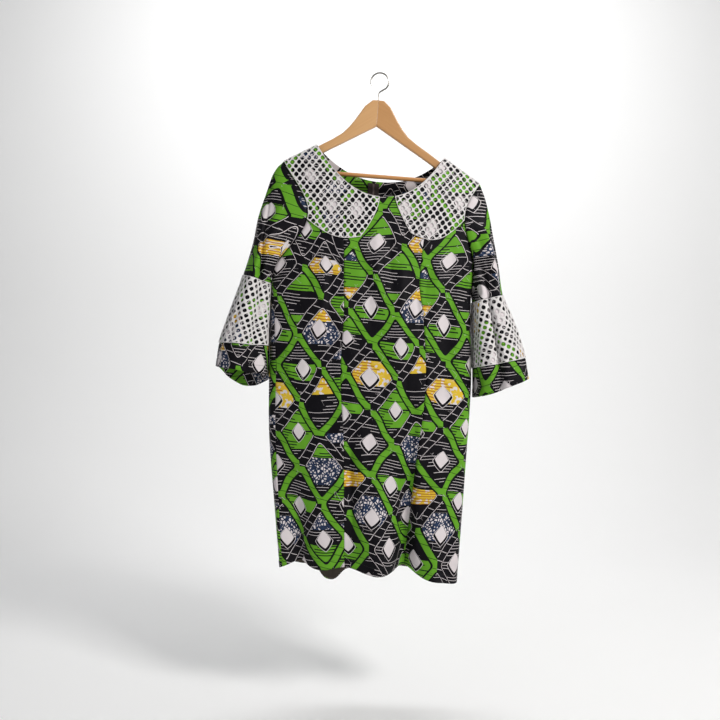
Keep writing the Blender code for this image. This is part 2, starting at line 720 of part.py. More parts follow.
def make_sleeve(side):
    points = sleeve_grid(side, SLEEVE_UPPER_STEPS)
    offsets = scaled(sleeve_normals(side, SLEEVE_UPPER_STEPS), CLOTH / 2.0)
    for index, angle in enumerate(sleeve_angles()):
        value = armhole(side, "front" if angle <= 180.0 else "back",
                        (1.0 - cos(radians(angle))) / 2.0)
        offsets[0][index] = mitre(body_normal(value.x, value.y),
                                  sleeve_normal(side, 0.0, angle), CLOTH)
    points = trim_edges(points, ("top", "bottom"), {"top": ARMHOLE_TRIM})
    wall("sleeve_" + side, points, offsets, "print_dark", closed=True)

    normals = sleeve_normals(side, SLEEVE_FLOUNCE_STEPS)
    points = trim_edges(sleeve_grid(side, SLEEVE_FLOUNCE_STEPS), ("top", "bottom"), {})
    wall("flounce_" + side, points, scaled(normals, CLOTH / 2.0), "print_green", closed=True)
    lift = CLOTH / 2.0 + LAYER_GAP + NET / 2.0
    lifted = [[p + n * lift for p, n in zip(*rows)] for rows in zip(points, normals)]
    lifted = trim_edges(lifted, ("top", "bottom"), {"top": NET_INSET, "bottom": NET_INSET})
    wall("net_flounce_" + side, lifted, scaled(normals, NET / 2.0), "net_white", closed=True)

    points = trim_edges(sleeve_grid(side, SLEEVE_CUFF_STEPS), ("top",), {})
    wall("cuff_" + side, points, scaled(sleeve_normals(side, SLEEVE_CUFF_STEPS), CLOTH / 2.0),
         "print_dark", closed=True)


def make_yoke(side):
    """Net laid over the front shoulder, from the shoulder seam and the neck to its free edges."""
    row = YOKES[side]
    shoulder = SHOULDERS[side]

    def inner(v):
        if v < YOKE_NECK_SHARE:
            share = v / YOKE_NECK_SHARE
            x = lerp(shoulder["neck_x"], row["neck_x"], (smoothstep(share) + share) / 2.0)
            return Vector((x, neckline(x)))
        share = (v - YOKE_NECK_SHARE) / (1.0 - YOKE_NECK_SHARE)
        x = lerp(row["neck_x"], row["low_x"], share ** row["bow"])
        return Vector((x, lerp(neckline(row["neck_x"]), row["low_z"], share)))

    def outer(v):
        value = armhole(side, "front", row["armhole_t"] * v)
        point = body_point(value.x, value.y)
        return Vector((point.x, value.y))

    def top(u):
        return Vector((lerp(shoulder["neck_x"], shoulder["tip_x"], u),
                       lerp(shoulder["neck_z"], shoulder["tip_z"], u)))

    def bottom(u):
        end = outer(1.0)
        return Vector((lerp(row["low_x"], end.x, u),
                       lerp(row["low_z"], end.y, u) - row["sag"] * sin(pi * u)))

    spots = []
    for k in range(YOKE_ROWS + 1):
        v = (k / YOKE_ROWS) ** YOKE_ROW_POWER
        spots.append([coons(inner, outer, top, bottom, i / YOKE_ACROSS, v) for i in range(YOKE_ACROSS + 1)])
    spots = [[spot(value.x, value.y) for value in line] for line in spots]
    normals = body_normals(spots)
    lift = CLOTH / 2.0 + YOKE_GAP + NET / 2.0
    points = [[p + n * lift for p, n in zip(*rows)] for rows in zip(body_grid(spots), normals)]
    edge = {"top": YOKE_INSET, "left": YOKE_INNER_INSET, "right": YOKE_INSET}
    points = trim_edges(points, ("top", "left", "right"), edge)
    wall("yoke_net_" + side, points, scaled(normals, NET / 2.0), "net_white")


def make_tape(name, start, end):
    """Zip tape inside the back, between two distances from the centre-back seam."""
    rows_of_spots = []
    top = BACK_NECK_LOW - ZIP_HEAD_DROP
    for k in range(TAPE_ROWS + 1):
        height = lerp(top, ZIP_FOOT, k / TAPE_ROWS)
        centre = ring(height, "centre_back")
        per_metre = 1.0 / (ring(height, "half_width") * radians(1.0) * cos(radians(centre - 180.0)))
        rows_of_spots.append([Vector((centre + lerp(start, end, i / 2.0) * per_metre, height))
                              for i in range(3)])
    normals = body_normals(rows_of_spots)
    sink = CLOTH / 2.0 + TAPE_GAP + TAPE_THICK / 2.0
    points = [[p - n * sink for p, n in zip(*rows)] for rows in zip(body_grid(rows_of_spots), normals)]
    wall(name, points, scaled(normals, TAPE_THICK / 2.0), "tape")


def zip_frame():
    """Seat of the slider on the outside of the back: +X across, +Y away from the cloth, -Z down it."""
    height = BACK_NECK_LOW - SLIDER_DROP
    angle = ring(height, "centre_back")
    point = body_point(angle, height)
    away = body_normal(angle, height)
    down = (body_point(angle, height - 0.02) - point).normalized()
    across = away.cross(-down).normalized()
    up = across.cross(away)
    matrix = Matrix((across, away, up)).transposed().to_4x4()
    matrix.translation = point + away * (CLOTH / 2.0)
    return matrix


def into_collection(item, collection):
    for other in list(item.users_collection):
        other.objects.unlink(item)
    collection.objects.link(item)


def join_into(target, others):
    """Boolean union of some objects into the first, as one closed body."""
    for other in others:
        modifier = target.modifiers.new("join", "BOOLEAN")
        modifier.operation = "UNION"
        modifier.object = other
        other.hide_render = True
        other.display_type = "WIRE"
        into_collection(other, CUTTERS)


def block(name, size, centre, matrix, material, bevel=0.0):
    bpy.ops.mesh.primitive_cube_add(size=1.0)
    item = bpy.context.object
    item.name = name
    into_collection(item, PARTS)
    item.data.transform(Matrix.Diagonal((*size, 1.0)))
    item.data.transform(Matrix.Translation(centre))
    item.matrix_world = matrix
    item.data.materials.append(MATERIALS[material])
    if bevel:
        rounding = item.modifiers.new("edges", "BEVEL")
        rounding.width = bevel
        rounding.segments = 2
    return item


def cross_rod(name, radius, length, centre, matrix, collection, vertices=12):
    """Cylinder along the frame's X."""
    bpy.ops.mesh.primitive_cylinder_add(vertices=vertices, radius=radius, depth=length)
    item = bpy.context.object
    item.name = name
    into_collection(item, collection)
    item.data.transform(Matrix.Rotation(pi / 2.0, 4, "Y"))
    item.data.transform(Matrix.Translation(centre))
    item.matrix_world = matrix
    return item


def make_zip():
    make_tape("zip_tape_left", TAPE_CENTRE_GAP, TAPE_CENTRE_GAP + TAPE_WIDTH)
    make_tape("zip_tape_right", -TAPE_CENTRE_GAP - TAPE_WIDTH, -TAPE_CENTRE_GAP)
    frame = zip_frame()
    middle = SLIDER["height"] / 2.0 + FIT_GAP
    slider = block("zip_slider", (SLIDER["width"], SLIDER["height"], SLIDER["length"]),
                   (0.0, middle, 0.0), frame, "metal", SLIDER["bevel"])
    pin_height = SLIDER["height"] + FIT_GAP + PIN_LIFT
    ear_top = pin_height + EAR["over_pin"]
    ears = []
    for sign in (-1.0, 1.0):
        size = (EAR["thick"], ear_top - middle, EAR["length"])
        centre = (sign * (EAR["inner_x"] + EAR["thick"] / 2.0), (ear_top + middle) / 2.0, 0.0)
        ears.append(block("slider_ear", size, centre, frame, "metal"))
    pin = cross_rod("slider_pin", PIN_RADIUS, 2.0 * EAR["inner_x"] + EAR["thick"],
                    (0.0, pin_height, 0.0), frame, PARTS)
    join_into(slider, ears + [pin])
    make_pull(frame @ Matrix.Translation((0.0, pin_height, 0.0)))


def make_pull(pivot):
    """Pull tab: a narrow eye on the pin, then a rounded blade hanging down the back."""
    eye_width = 2.0 * (EAR["inner_x"] - FIT_GAP)
    eye = block("zip_pull", (eye_width, PULL["eye_depth"], PULL["eye_length"]),
                (0.0, 0.0, -PULL["eye_drop"]), pivot, "metal", PULL["eye_bevel"])
    blade = block("pull_blade", (PULL["width"], PULL["thick"], PULL["length"]),
                  (0.0, 0.0, PULL["blade_top"] - PULL["length"] / 2.0), pivot, "metal",
                  PULL["blade_bevel"])
    join_into(eye, [blade])
    hole = cross_rod("pull_eye_cutter", PIN_RADIUS + FIT_GAP, PULL["length"], (0.0, 0.0, 0.0),
                     pivot, CUTTERS)
    hole.hide_render = True
    hole.display_type = "WIRE"
    cut = eye.modifiers.new("eye", "BOOLEAN")
    cut.operation = "DIFFERENCE"
    cut.object = hole


def arm_outline():
    outline = [(row["x"], row["upper"]) for row in ARM]
    outline += list(reversed(ARM_END))
    return outline + [(row["x"], row["lower"]) for row in reversed(ARM)]


def make_arm(side, sign, material, tilt):
    """One half of the hanger: a flat outline in wood, rounded everywhere but at the centre joint."""
    name = "hanger_arm_" + side
    curve = bpy.data.curves.new(name, "CURVE")
    curve.dimensions = "2D"
    curve.fill_mode = "BOTH"
    curve.extrude = WOOD / 2.0
    outline = arm_outline()
    spline = curve.splines.new("POLY")
    spline.points.add(len(outline) - 1)
    for target, (x, z) in zip(spline.points, outline):
        target.co = (sign * (x + FIT_GAP / 2.0), z, 0.0, 1.0)
    spline.use_cyclic_u = True
    flat = bpy.data.objects.new(name + "_outline", curve)
    PARTS.objects.link(flat)
    depsgraph = bpy.context.evaluated_depsgraph_get()
    data = bpy.data.meshes.new_from_object(flat.evaluated_get(depsgraph))
    bpy.data.objects.remove(flat, do_unlink=True)
    shape = bmesh.new()
    shape.from_mesh(data)
    bmesh.ops.remove_doubles(shape, verts=shape.verts[:], dist=0.00001)
    joint_x = ARM[0]["x"] + FIT_GAP
    rims = [edge for edge in shape.edges if edge.calc_face_angle(0.0) > radians(60.0)
            and max(abs(v.co.x) for v in edge.verts) > joint_x
            and abs(edge.verts[0].co.z - edge.verts[1].co.z) < WOOD / 2.0]
    bmesh.ops.bevel(shape, geom=rims, offset=WOOD_EDGE, segments=2, profile=0.5, affect="EDGES",
                    clamp_overlap=True)
    bmesh.ops.recalc_face_normals(shape, faces=shape.faces[:])
    shape.to_mesh(data)
    shape.free()
    data.name = name
    data.shade_smooth()
    data.set_sharp_from_angle(angle=radians(40.0))
    item = place(name, data, material)
    item.matrix_world = tilt @ Matrix.Rotation(pi / 2.0, 4, "X")


def make_hanger():
    tilt = Matrix.Rotation(HANGER_TILT, 4, "Y")
    make_arm("left", -1.0, "wood_light", tilt)
    make_arm("right", 1.0, "wood_dark", tilt)
    bar = cross_rod("hanger_bar", BAR_RADIUS, 2.0 * BAR_HALF, (0.0, 0.0, BAR_HEIGHT), tilt, PARTS, 20)
    bar.data.materials.append(MATERIALS["wood_light"])
    bar.data.shade_smooth()
    make_hook(tilt)


def hook_path():
    centre = Vector((0.0, 0.0, -(HOOK_RADIUS - HOOK_WIRE)))
    points = [Vector((0.0, 0.0, HOOK_STEM_FOOT))]
    start = centre + Vector((cos(HOOK_START), 0.0, sin(HOOK_START))) * HOOK_RADIUS
    foot = Vector((0.0, 0.0, HOOK_STEM_TOP))
    leave = Vector((-sin(HOOK_START), 0.0, cos(HOOK_START))) * HOOK_EASE
    rise = Vector((0.0, 0.0, HOOK_EASE))
    for i in range(HOOK_EASE_STEPS):
        t = i / HOOK_EASE_STEPS
        points.append(foot * (2 * t**3 - 3 * t**2 + 1) + rise * (t**3 - 2 * t**2 + t)
                      + start * (3 * t**2 - 2 * t**3) + leave * (t**3 - t**2))
    for i in range(HOOK_STEPS + 1):
        angle = lerp(HOOK_START, HOOK_END, i / HOOK_STEPS)
        points.append(centre + Vector((cos(angle), 0.0, sin(angle))) * HOOK_RADIUS)
    return points


def make_hook(tilt):
    curve = bpy.data.curves.new("hanger_hook", "CURVE")
    curve.dimensions = "3D"
    curve.bevel_depth = HOOK_WIRE
    curve.bevel_resolution = 2
    curve.use_fill_caps = True
    spline = curve.splines.new("POLY")
    points = hook_path()
    spline.points.add(len(points) - 1)
    for target, value in zip(spline.points, points):
        target.co = (*value, 1.0)
    item = bpy.data.objects.new("hanger_hook", curve)
    item.data.materials.append(MATERIALS["metal"])
    PARTS.objects.link(item)
    item.matrix_world = tilt


clear_scene()
PARTS = bpy.data.collections.new("dress_on_hanger")
CUTTERS = bpy.data.collections.new("cutters")
bpy.context.scene.collection.children.link(PARTS)
bpy.context.scene.collection.children.link(CUTTERS)
MATERIALS = make_materials()

make_front()
make_back()
for dress_side in ("left", "right"):
    make_sleeve(dress_side)
    make_yoke(dress_side)
make_zip()
make_hanger()
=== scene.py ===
"""Looks of the knee-length wax-print dress on its wooden hanger.

The frame is metres with +Z up. The dress faces -Y, its left as seen from the
front is -X, and the origin is where a rail would bear inside the hook. The
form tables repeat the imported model's, and every shell lies on that form.
"""
from math import cos, pi, radians, sin, tan
import bpy
import numpy as np
from mathutils import Matrix, Vector


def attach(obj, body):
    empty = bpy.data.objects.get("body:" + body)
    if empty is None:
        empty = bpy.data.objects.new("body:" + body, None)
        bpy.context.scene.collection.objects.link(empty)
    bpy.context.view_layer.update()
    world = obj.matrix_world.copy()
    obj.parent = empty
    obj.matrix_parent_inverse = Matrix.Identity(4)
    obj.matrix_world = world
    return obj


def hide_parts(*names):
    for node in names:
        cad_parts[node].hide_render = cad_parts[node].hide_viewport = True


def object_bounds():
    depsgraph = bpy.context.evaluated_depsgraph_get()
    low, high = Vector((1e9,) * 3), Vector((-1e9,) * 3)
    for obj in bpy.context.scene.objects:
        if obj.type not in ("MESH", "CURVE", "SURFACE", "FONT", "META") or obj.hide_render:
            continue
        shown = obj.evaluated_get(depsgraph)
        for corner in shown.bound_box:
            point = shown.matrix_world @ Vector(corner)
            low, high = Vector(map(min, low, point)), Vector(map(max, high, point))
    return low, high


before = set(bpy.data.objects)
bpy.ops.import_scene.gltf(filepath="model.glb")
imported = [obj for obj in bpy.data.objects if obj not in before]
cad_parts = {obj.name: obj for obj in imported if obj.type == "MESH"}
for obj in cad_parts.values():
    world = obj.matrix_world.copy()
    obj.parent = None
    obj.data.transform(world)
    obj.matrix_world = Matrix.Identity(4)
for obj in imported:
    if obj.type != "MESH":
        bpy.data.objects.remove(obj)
CAD_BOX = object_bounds()

DRESS = "dress_on_hanger"
SIDES = ("left", "right")

# Hang of the whole thing
HANGER_TILT = radians(4.5)
DRESS_SHEAR = tan(radians(5.0))

# Cloth: how thick it is and how far one layer stands off the next
CLOTH = 0.0013
NET = 0.0015
NET_LIFT = 0.0022
FLOUNCE_LIFT = 0.0020
# A dark strip inside the back hem whose colour is painted shade: the rows it covers, how far in it sits,
# its thickness and how far its foot is drawn up
HEM_SHADE_ROWS = 9
HEM_SHADE_SINK = 0.0017
HEM_SHADE_THICKNESS = 0.0008
HEM_SHADE_DRAWN_UP = 0.3
# No area under 0.3 of its flat box may be stated for a sheet. The yokes' net covers only 0.24
# and 0.26 of theirs, so their reckoned area is this share and not what was measured
LEAST_AREA = 0.31


def table(columns, *rows):
    """Rows as dicts by column. A column marked mm is in millimetres and is turned into metres."""
    names = [name.split(":") for name in columns.split()]
    return [{name[0]: value / 1000.0 if len(name) > 1 else value for name, value in zip(names, row)}
            for row in rows]


# Body tube. Heights are before the shear, angles are degrees round the tube:
# 0 is the front, 90 the right silhouette, 180 the back, -90 the left silhouette
HEM_HEIGHT = -1.136
BACK_HEM_HEIGHT = -1.150
RIDGE_HALF = 0.0006
SHOULDER_HALF = 0.0095
SHOULDER_ROUND = 0.0035
BODY_DROP = 0.060
WING_COS = 0.25
ROUNDNESS = 0.6

BODY = table(
    "height:mm centre_x:mm half_width:mm half_depth:mm seam_left seam_right "
    "princess_left princess_right centre_back",
    (-180, 2, 235, 28, -81, 95, -26.7, 28.4, 184), (-300, 0, 235, 33, -81, 95, -22, 27.5, 184.5),
    (-400, -12, 232, 39, -81, 95, -18, 27, 185.5), (-484, -21, 227.5, 45, -81, 95, -16, 28, 186.5),
    (-560, -22.5, 228, 48, -74, 104, -15.5, 31, 187), (-700, -24.4, 230, 50, -68, 114, -16.8, 32.6, 188),
    (-850, -29.5, 224.9, 56, -68, 115, -14, 30, 188), (-1000, -29.6, 213.3, 63, -68, 115, -14.6, 27, 187),
    (-1150, -29.6, 201, 70, -68, 115, -15, 24, 186))

# Folds that grow from a start height to the hem, and drapes between two heights
FOLDS = table(
    "angle width depth:mm start:mm power",
    (-70, 7, 12, -850, 1), (-51, 8.5, -26, -860, 1.2), (-30, 9, 8, -600, 1), (-14, 7, -6, -800, 1),
    (5.5, 8.5, 17, -740, 1), (24, 8, -45, -720, 1.1), (45, 8, 12, -720, 1), (72, 10, 6, -700, 1),
    (130, 9, 12, -780, 1), (152, 8, -20, -800, 1.1), (172, 8, 10, -740, 1), (190, 7, -12, -850, 1),
    (208, 9, 18, -720, 1), (232, 8, -18, -800, 1.1), (252, 8, 10, -760, 1))

DRAPES = table(
    "angle width depth:mm top:mm foot:mm",
    (-40, 10, 5, -400, -860), (14, 9, 4, -360, -800), (48, 8, -5, -420, -840), (148, 11, 5, -380, -820),
    (214, 11, 5, -380, -840))

# Lifts of the hem's edge round the tube
HEM = table(
    "angle width lift:mm power",
    (-51, 12, 14, 2), (-14, 12, 12, 2), (24, 10, 22, 2), (68, 26, -9, 2), (152, 14, 10, 2),
    (200, 24, -9, 2), (206.5, 8.7, -37, 2.8))

# Sleeves in steps from the armhole at 0 down to the cuff's edge at 9
SLEEVE_COLUMNS = ("step outer_x:mm outer_z:mm inner_x:mm inner_z:mm inner_y:mm half_depth:mm "
                  "front_x:mm back_x:mm back_drop:mm")
SLEEVES = {
    "left": table(
        SLEEVE_COLUMNS,
        (0, -222, -202.2, -244.7, -462.6, -22.6, 30, 60, 21, 0),
        (1, -244, -226, -247.8, -468, -20, 37, 42, 9, 0), (2, -262, -275, -251, -472, -16, 44, 26, 0, 0),
        (3, -280, -330, -252.4, -476, -11, 50, 12, -4, 0), (4, -292, -390, -252.6, -480, -5, 54, 4, -3, 2),
        (5, -314.2, -464, -254, -484, 0, 57, 0, 0, 4), (6, -332.6, -519.8, -257.8, -532, 0, 64, 0, 0, 10),
        (7, -350, -570, -260.5, -580, 0, 70, 0, 0, 17),
        (8, -367.1, -618.7, -260.9, -625.6, 0, 76, 0, 0, 24),
        (9, -376.3, -671.6, -261.2, -690.5, 0, 79, 0, 0, 40)),
    "right": table(
        SLEEVE_COLUMNS,
        (0, 227.5, -254.9, 205.6, -506, 18.6, 30, -28, -26, 0),
        (1, 240, -290, 208.8, -510.5, 16, 37, -18, -16, 0),
        (2, 250, -333, 210.6, -514.5, 12, 43, -10, -8, 0), (3, 259, -385, 211.8, -518.5, 8, 49, -4, -2, 0),
        (4, 269, -443, 212.4, -522.5, 3.5, 53, 0, 0, 0), (5, 279.2, -510.6, 212.8, -526.5, 0, 57, 0, 0, 0),
        (6, 301, -565, 213, -579, 0, 63, 0, 0, 4), (7, 315, -605, 213.2, -627, 0, 69, 0, 0, 8),
        (8, 329.8, -653.2, 213.4, -676, 0, 74, 0, 0, 12), (9, 337.9, -699.2, 213.6, -743, 0, 77, 0, 0, 16)),
}

# Folds of the sleeves, and short creases as a path in degrees round and steps down
SLEEVE_FOLDS = {
    "left": table(
        "angle end_angle width depth:mm first",
        (44, 118, 13, -9, 0.6), (78, 78, 14, 6, 1.5), (150, 150, 13, 5, 4.5), (215, 215, 15, 6, 4.5),
        (262, 262, 14, -8, 3.5), (310, 310, 15, 6, 3)),
    "right": table(
        "angle end_angle width depth:mm first",
        (50, 62, 12, 6, 0.8), (96, 100, 12, -10, 1.5), (132, 132, 12, 7, 4), (220, 220, 14, 6, 4),
        (268, 268, 14, -8, 3.5), (312, 312, 15, 6, 3)),
}

SLEEVE_CREASES = {
    "left": table(
        "angle step end_angle end_step width depth:mm",
        (-5, 0.6, 112, 4.9, 5.5, -7.2), (20, 0.5, 24, 3.4, 7, -2.6), (62, 0.9, 70, 4.6, 6, 3),
        (100, 1.2, 96, 4.8, 6.5, -3.6), (128, 1.6, 150, 4.9, 8, -3), (340, 0.6, 332, 3.8, 8, -2.8),
        (290, 1, 300, 4.4, 7, 2.6), (250, 1.6, 240, 4.8, 7, -3), (36, 5.2, 28, 8.8, 8, -5.5),
        (60, 5.1, 50, 9.2, 8, 6.5), (96, 5.3, 104, 9.2, 6, 2.6), (10, 5.4, 6, 9.2, 8, 2.4),
        (340, 5.2, 346, 9.2, 7, -3), (286, 5.3, 284, 9.2, 7.5, 3), (236, 5.2, 232, 9.2, 7, -2.8),
        (196, 5.3, 192, 9.2, 7, -2.6)),
    "right": table(
        "angle step end_angle end_step width depth:mm",
        (24, 0.5, 30, 4.6, 6.5, -3.4), (74, 0.7, 78, 4.8, 6, -4), (112, 0.9, 114, 4.8, 6.5, 3.4),
        (140, 1.8, 134, 4.9, 7, -2.8), (345, 0.6, 338, 4, 8, 2.4), (300, 0.9, 306, 4.6, 7, -3),
        (248, 1.4, 240, 4.8, 7, -2.8), (30, 5.1, 26, 9.2, 7, 2.8), (60, 5.1, 66, 9.2, 6, -3),
        (86, 5.1, 85, 9.4, 5, 3.6), (99, 5.1, 99, 9.6, 4.5, -5.6), (116, 5.2, 116, 9.4, 6, 4),
        (344, 5.2, 350, 9.2, 7, -2.6), (288, 5.3, 282, 9.2, 7.5, 2.8), (242, 5.2, 238, 9.2, 7, 2.6),
        (200, 5.3, 196, 9.2, 7, -2.6)),
}

# Creases of the body: a line on the front or back from one end to the
# other, in millimetres across and unsheared height, its bow, half-width and depth
CREASES = {
    "front": table(
        "x:mm z:mm end_x:mm end_z:mm bow:mm width:mm depth:mm",
        (-196, -355, -232, -478, 6, 8.5, -8.7), (-184, -365, -214, -470, 4, 7, 4.3),
        (-150, -372, -166, -560, 3, 9, -3.2), (-131, -395, -137, -640, -4, 11, 3.8),
        (-112, -470, -108, -700, 4, 8.5, -2.6), (-86, -440, -94, -560, 2, 6, -2.3),
        (-78, -500, -60, -700, 3, 10, 2.6), (-45, -420, -22, -600, -4, 9, -2.9),
        (-10, -330, -2, -545, 4, 11, 3.5), (22, -350, 26, -520, 3, 7.5, -3.2),
        (50, -420, 36, -640, -3, 10, 2.9), (78, -470, 90, -600, 2, 5.5, -2.6),
        (88, -500, 104, -570, 2, 4.5, 1.7), (112, -440, 96, -520, 2, 5, -2),
        (132, -400, 126, -620, 4, 10.5, 3.8), (158, -380, 162, -560, -3, 8.5, -3.2),
        (176, -440, 172, -660, 4, 9, 3.2), (190, -400, 196, -520, 2, 6, -3.5),
        (-205, -520, -160, -640, -6, 10, -3.2), (-214, -600, -190, -760, 4, 9, 2.9),
        (-150, -640, -176, -830, -4, 11, -3.8), (-104, -760, -124, -960, 4, 10, -3.5),
        (-60, -700, -70, -900, 3, 8.5, 2.9), (-69, -780, -66, -1070, 3, 9.5, -9),
        (-43, -800, -40, -1110, -3, 13, 6), (-92, -840, -94, -1120, 2, 12, 5),
        (38, -800, 30, -1120, 4, 12, 6), (86, -700, 78, -1130, -4, 11, 7),
        (-30, -840, -36, -1030, -3, 7, -2.6), (10, -660, 4, -820, 3, 10, -2.9),
        (62, -660, 52, -780, 2, 7, -2.3), (112, -660, 100, -860, 5, 9, 3.2),
        (146, -700, 138, -900, -3, 8, -3.5), (166, -840, 150, -1060, 4, 7.5, -2.9),
        (176, -560, 120, -640, 5, 7, -2)),
    "back": table(
        "x:mm z:mm end_x:mm end_z:mm bow:mm width:mm depth:mm",
        (-176, -340, -196, -480, -5, 9.5, -7.2), (-140, -360, -150, -600, 4, 11, 3.8),
        (-98, -320, -104, -520, -4, 9, -3.5), (-70, -420, -60, -680, 4, 10.5, 3.2),
        (40, -330, 46, -560, 4, 10, -3.2), (82, -350, 70, -620, -5, 11, 3.8),
        (120, -340, 136, -500, 3, 8, -3.8), (166, -360, 180, -470, 5, 9, -6.7),
        (150, -520, 120, -700, -4, 10, 3.2), (-170, -560, -130, -720, 5, 9, -3.2),
        (-110, -640, -98, -860, -3, 8.5, -2.6), (-200, -700, -186, -900, 3, 8, 2.9),
        (-40, -760, -50, -960, 3, 7.5, -2.9), (20, -660, 26, -880, -3, 9.5, 2.6),
        (90, -700, 100, -920, 4, 8, -3.2), (150, -760, 136, -1000, 3, 7.5, 2.9)),
}

# Neck point and tip of each shoulder, as x and height
SHOULDERS = {"left": ((-0.1455, -0.1775), (-0.2220, -0.2215)),
             "right": ((0.1455, -0.1820), (0.2275, -0.2350))}
NECK_POWER = 2.2
PRINCESS_NECK_X = {"left": -0.1020, "right": 0.1140}
FRONT_NECK_LOW = -0.2890
BACK_NECK_LOW = -0.2430

ARMPITS = {"left": {"angle": -81.0, "z": -0.4840}, "right": {"angle": 95.0, "z": -0.4880}}
# Scoop of the armhole's edge in degrees, and how far the scoop leans to the shoulder
ARMHOLES = {("left", "front"): (33.0, 0.0), ("left", "back"): (-28.0, 0.3),
            ("right", "front"): (-46.0, 1.25), ("right", "back"): (28.0, 0.3)}
HEM_FRONT_ANGLE = 20.0
HEM_TURN = 0.5
HEM_TURN_WIDTH = 0.9

SLEEVE_CLOSE = {"left": 0.0040, "right": -0.0018}
SLEEVE_AXIS = {"left": (-0.150, 0.0, -0.989), "right": (0.115, 0.0, -0.993)}
NET_SEAM_STEP = 5.0
CUFF_SEAM_STEP = 8.0
CUFF_EDGE_STEP = 9.0

# Yokes: end of the neck edge, low corner, bow of the free edge, share of the
# armhole that they reach down, sag of the free edge, grain line and turn of the net
YOKES = dict(zip(SIDES, table(
    "neck_x low_x low_z bow armhole_share sag grain turn",
    (-0.0014, -0.0455, -0.3860, 1.6, 0.51, 0.0185, -32.0, 4.0),
    (0.0308, 0.0653, -0.3670, 1.4, 0.36, 0.0300, 38.0, -3.0))))
YOKE_NECK_SHARE = 0.55

ZIP_TOP = BACK_NECK_LOW - 0.007
ZIP_FOOT = -0.640
TAPE_SINK = 0.00215
TOOTH = {"width": 0.0031, "tall": 0.0011, "deep": 0.0011, "pitch": 0.0022, "aside": 0.0007}
ZIP_STITCH_OFF = 0.0075

# The body's panels: columns of mesh, angle of the grain line, shift of the print
# on it, phase of the seams' puckers, and the neck edge's share of the top
PANELS = dict(zip(
    ("front_centre", "front_side_left", "front_side_right", "back_left", "back_right"),
    table("columns grain shift_x:mm shift_y:mm phase neck_share",
          (55, 4.0, 13, 21, 0.4, 1.0), (50, -45.0, 51, 87, 1.7, 0.5), (60, 60.0, 31, 47, 2.9, 4.0 / 12.0),
          (65, 225.0, 7, 61, 4.1, 7.0 / 13.0), (50, 145.0, 43, 12, 5.3, 0.6))))

# Mesh density
ARM_STEPS = 12
SKIRT_STEPS = 12
SEAM_EASE = 3.0
ARM_ROWS_A_STEP = 7
SKIRT_ROWS_A_STEP = 9
SLEEVE_ROWS_A_STEP = 14
SLEEVE_RING = np.linspace(180.0, 540.0, 129)
SAMPLE_ANGLE = 0.6
SAMPLE_HEIGHT = 0.0015
SLEEVE_SAMPLE_ANGLE = 3.0
SLEEVE_SAMPLE_STEP = 0.08
# Steps, and the angle and height either side, by which a place on the cloth is found
PLACE_TRIES = 14
PLACE_ANGLE = 0.5
PLACE_HEIGHT = 0.002
# The least share of a triangle's edge that a cut through it leaves
CUT_MARGIN = 0.06

# Seams: a soft groove, with puckers where the thread draws the cloth in
SEAM_GROOVE = 0.0009
SEAM_WIDTH = 0.0022
ARMHOLE_GROOVE = 0.0028
ARMHOLE_GROOVE_WIDTH = 0.0034
ARMHOLE_CALM = 0.026
PUCKER = 0.00055
PUCKER_REACH = 0.0110
PUCKER_PITCH = 0.0115
PUCKER_START = 0.003
# Radians a metre in which the puckers drift and swell along a seam
PUCKER_DRIFT = 61.0
PUCKER_SWELL = 23.0
HEM_TURN_UP = 0.018
HEM_STEP = 0.0005
HEM_TROUGH = 0.0006
HEM_TROUGH_WIDTH = 0.0016
STITCH_PITCH = 0.0034
STITCH_HALF = 0.00135
STITCH_RADIUS = 0.00030
CREASE_TAPER = 0.7
# Creases fade out towards the silhouette, below this share of facing forward or back
CREASE_FACING = 0.35

# The glue line between the hanger's halves, before the tilt
GLUE_LOW = -0.1217
GLUE_HIGH = -0.0623
GLUE_HALF = 0.0057

# Net: holes in rows that interleave
NET_PITCH_X = 0.0158
NET_PITCH_Y = 0.0198
HOLE_HALF_X = 0.0052
HOLE_HALF_Y = 0.0059
HOLE_POWER = 1.6
FLOUNCE_OPEN = 0.88
NET_GRID = 0.0015
NET_BORDER = 0.0016
NET_STITCH_IN = 0.0011
FLOUNCE_INSET = 0.0004
FLOUNCE_TURN_STEPS = 240
YOKE_INSET = 0.0008

# Camera of the photograph, worked out from the hanger's and the dress's sizes
CAMERA_PLACE = (-0.0474, -2.0, -0.658)
CAMERA_LENS = 43.5
CAMERA_SENSOR = 36.0


# The form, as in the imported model, for whole arrays of places at once

def lerp(start, end, share):
    return start + (end - start) * share


def between(start, end, share):
    """Points on the straight way from one point to another."""
    return join(*(lerp(a, b, share) for a, b in zip(start, end)))


def smoothstep(value):
    value = np.clip(value, 0.0, 1.0)
    return value * value * (3.0 - 2.0 * value)


def hill(away):
    return np.exp(-away ** 2)


def unit(vectors):
    return vectors / np.maximum(np.linalg.norm(vectors, axis=-1, keepdims=True), 1e-12)


def join(*parts):
    """One array with the parts along its last axis."""
    return np.stack(np.broadcast_arrays(*parts), axis=-1)


def bearing(angle):
    return np.sin(np.radians(angle)), np.cos(np.radians(angle))


def turn_between(angle, centre):
    """Signed degrees from the centre to the angle, the short way round."""
    return (angle - centre + 180.0) % 360.0 - 180.0


def bump(angle, row):
    return hill(turn_between(angle, row["angle"]) / row["width"])


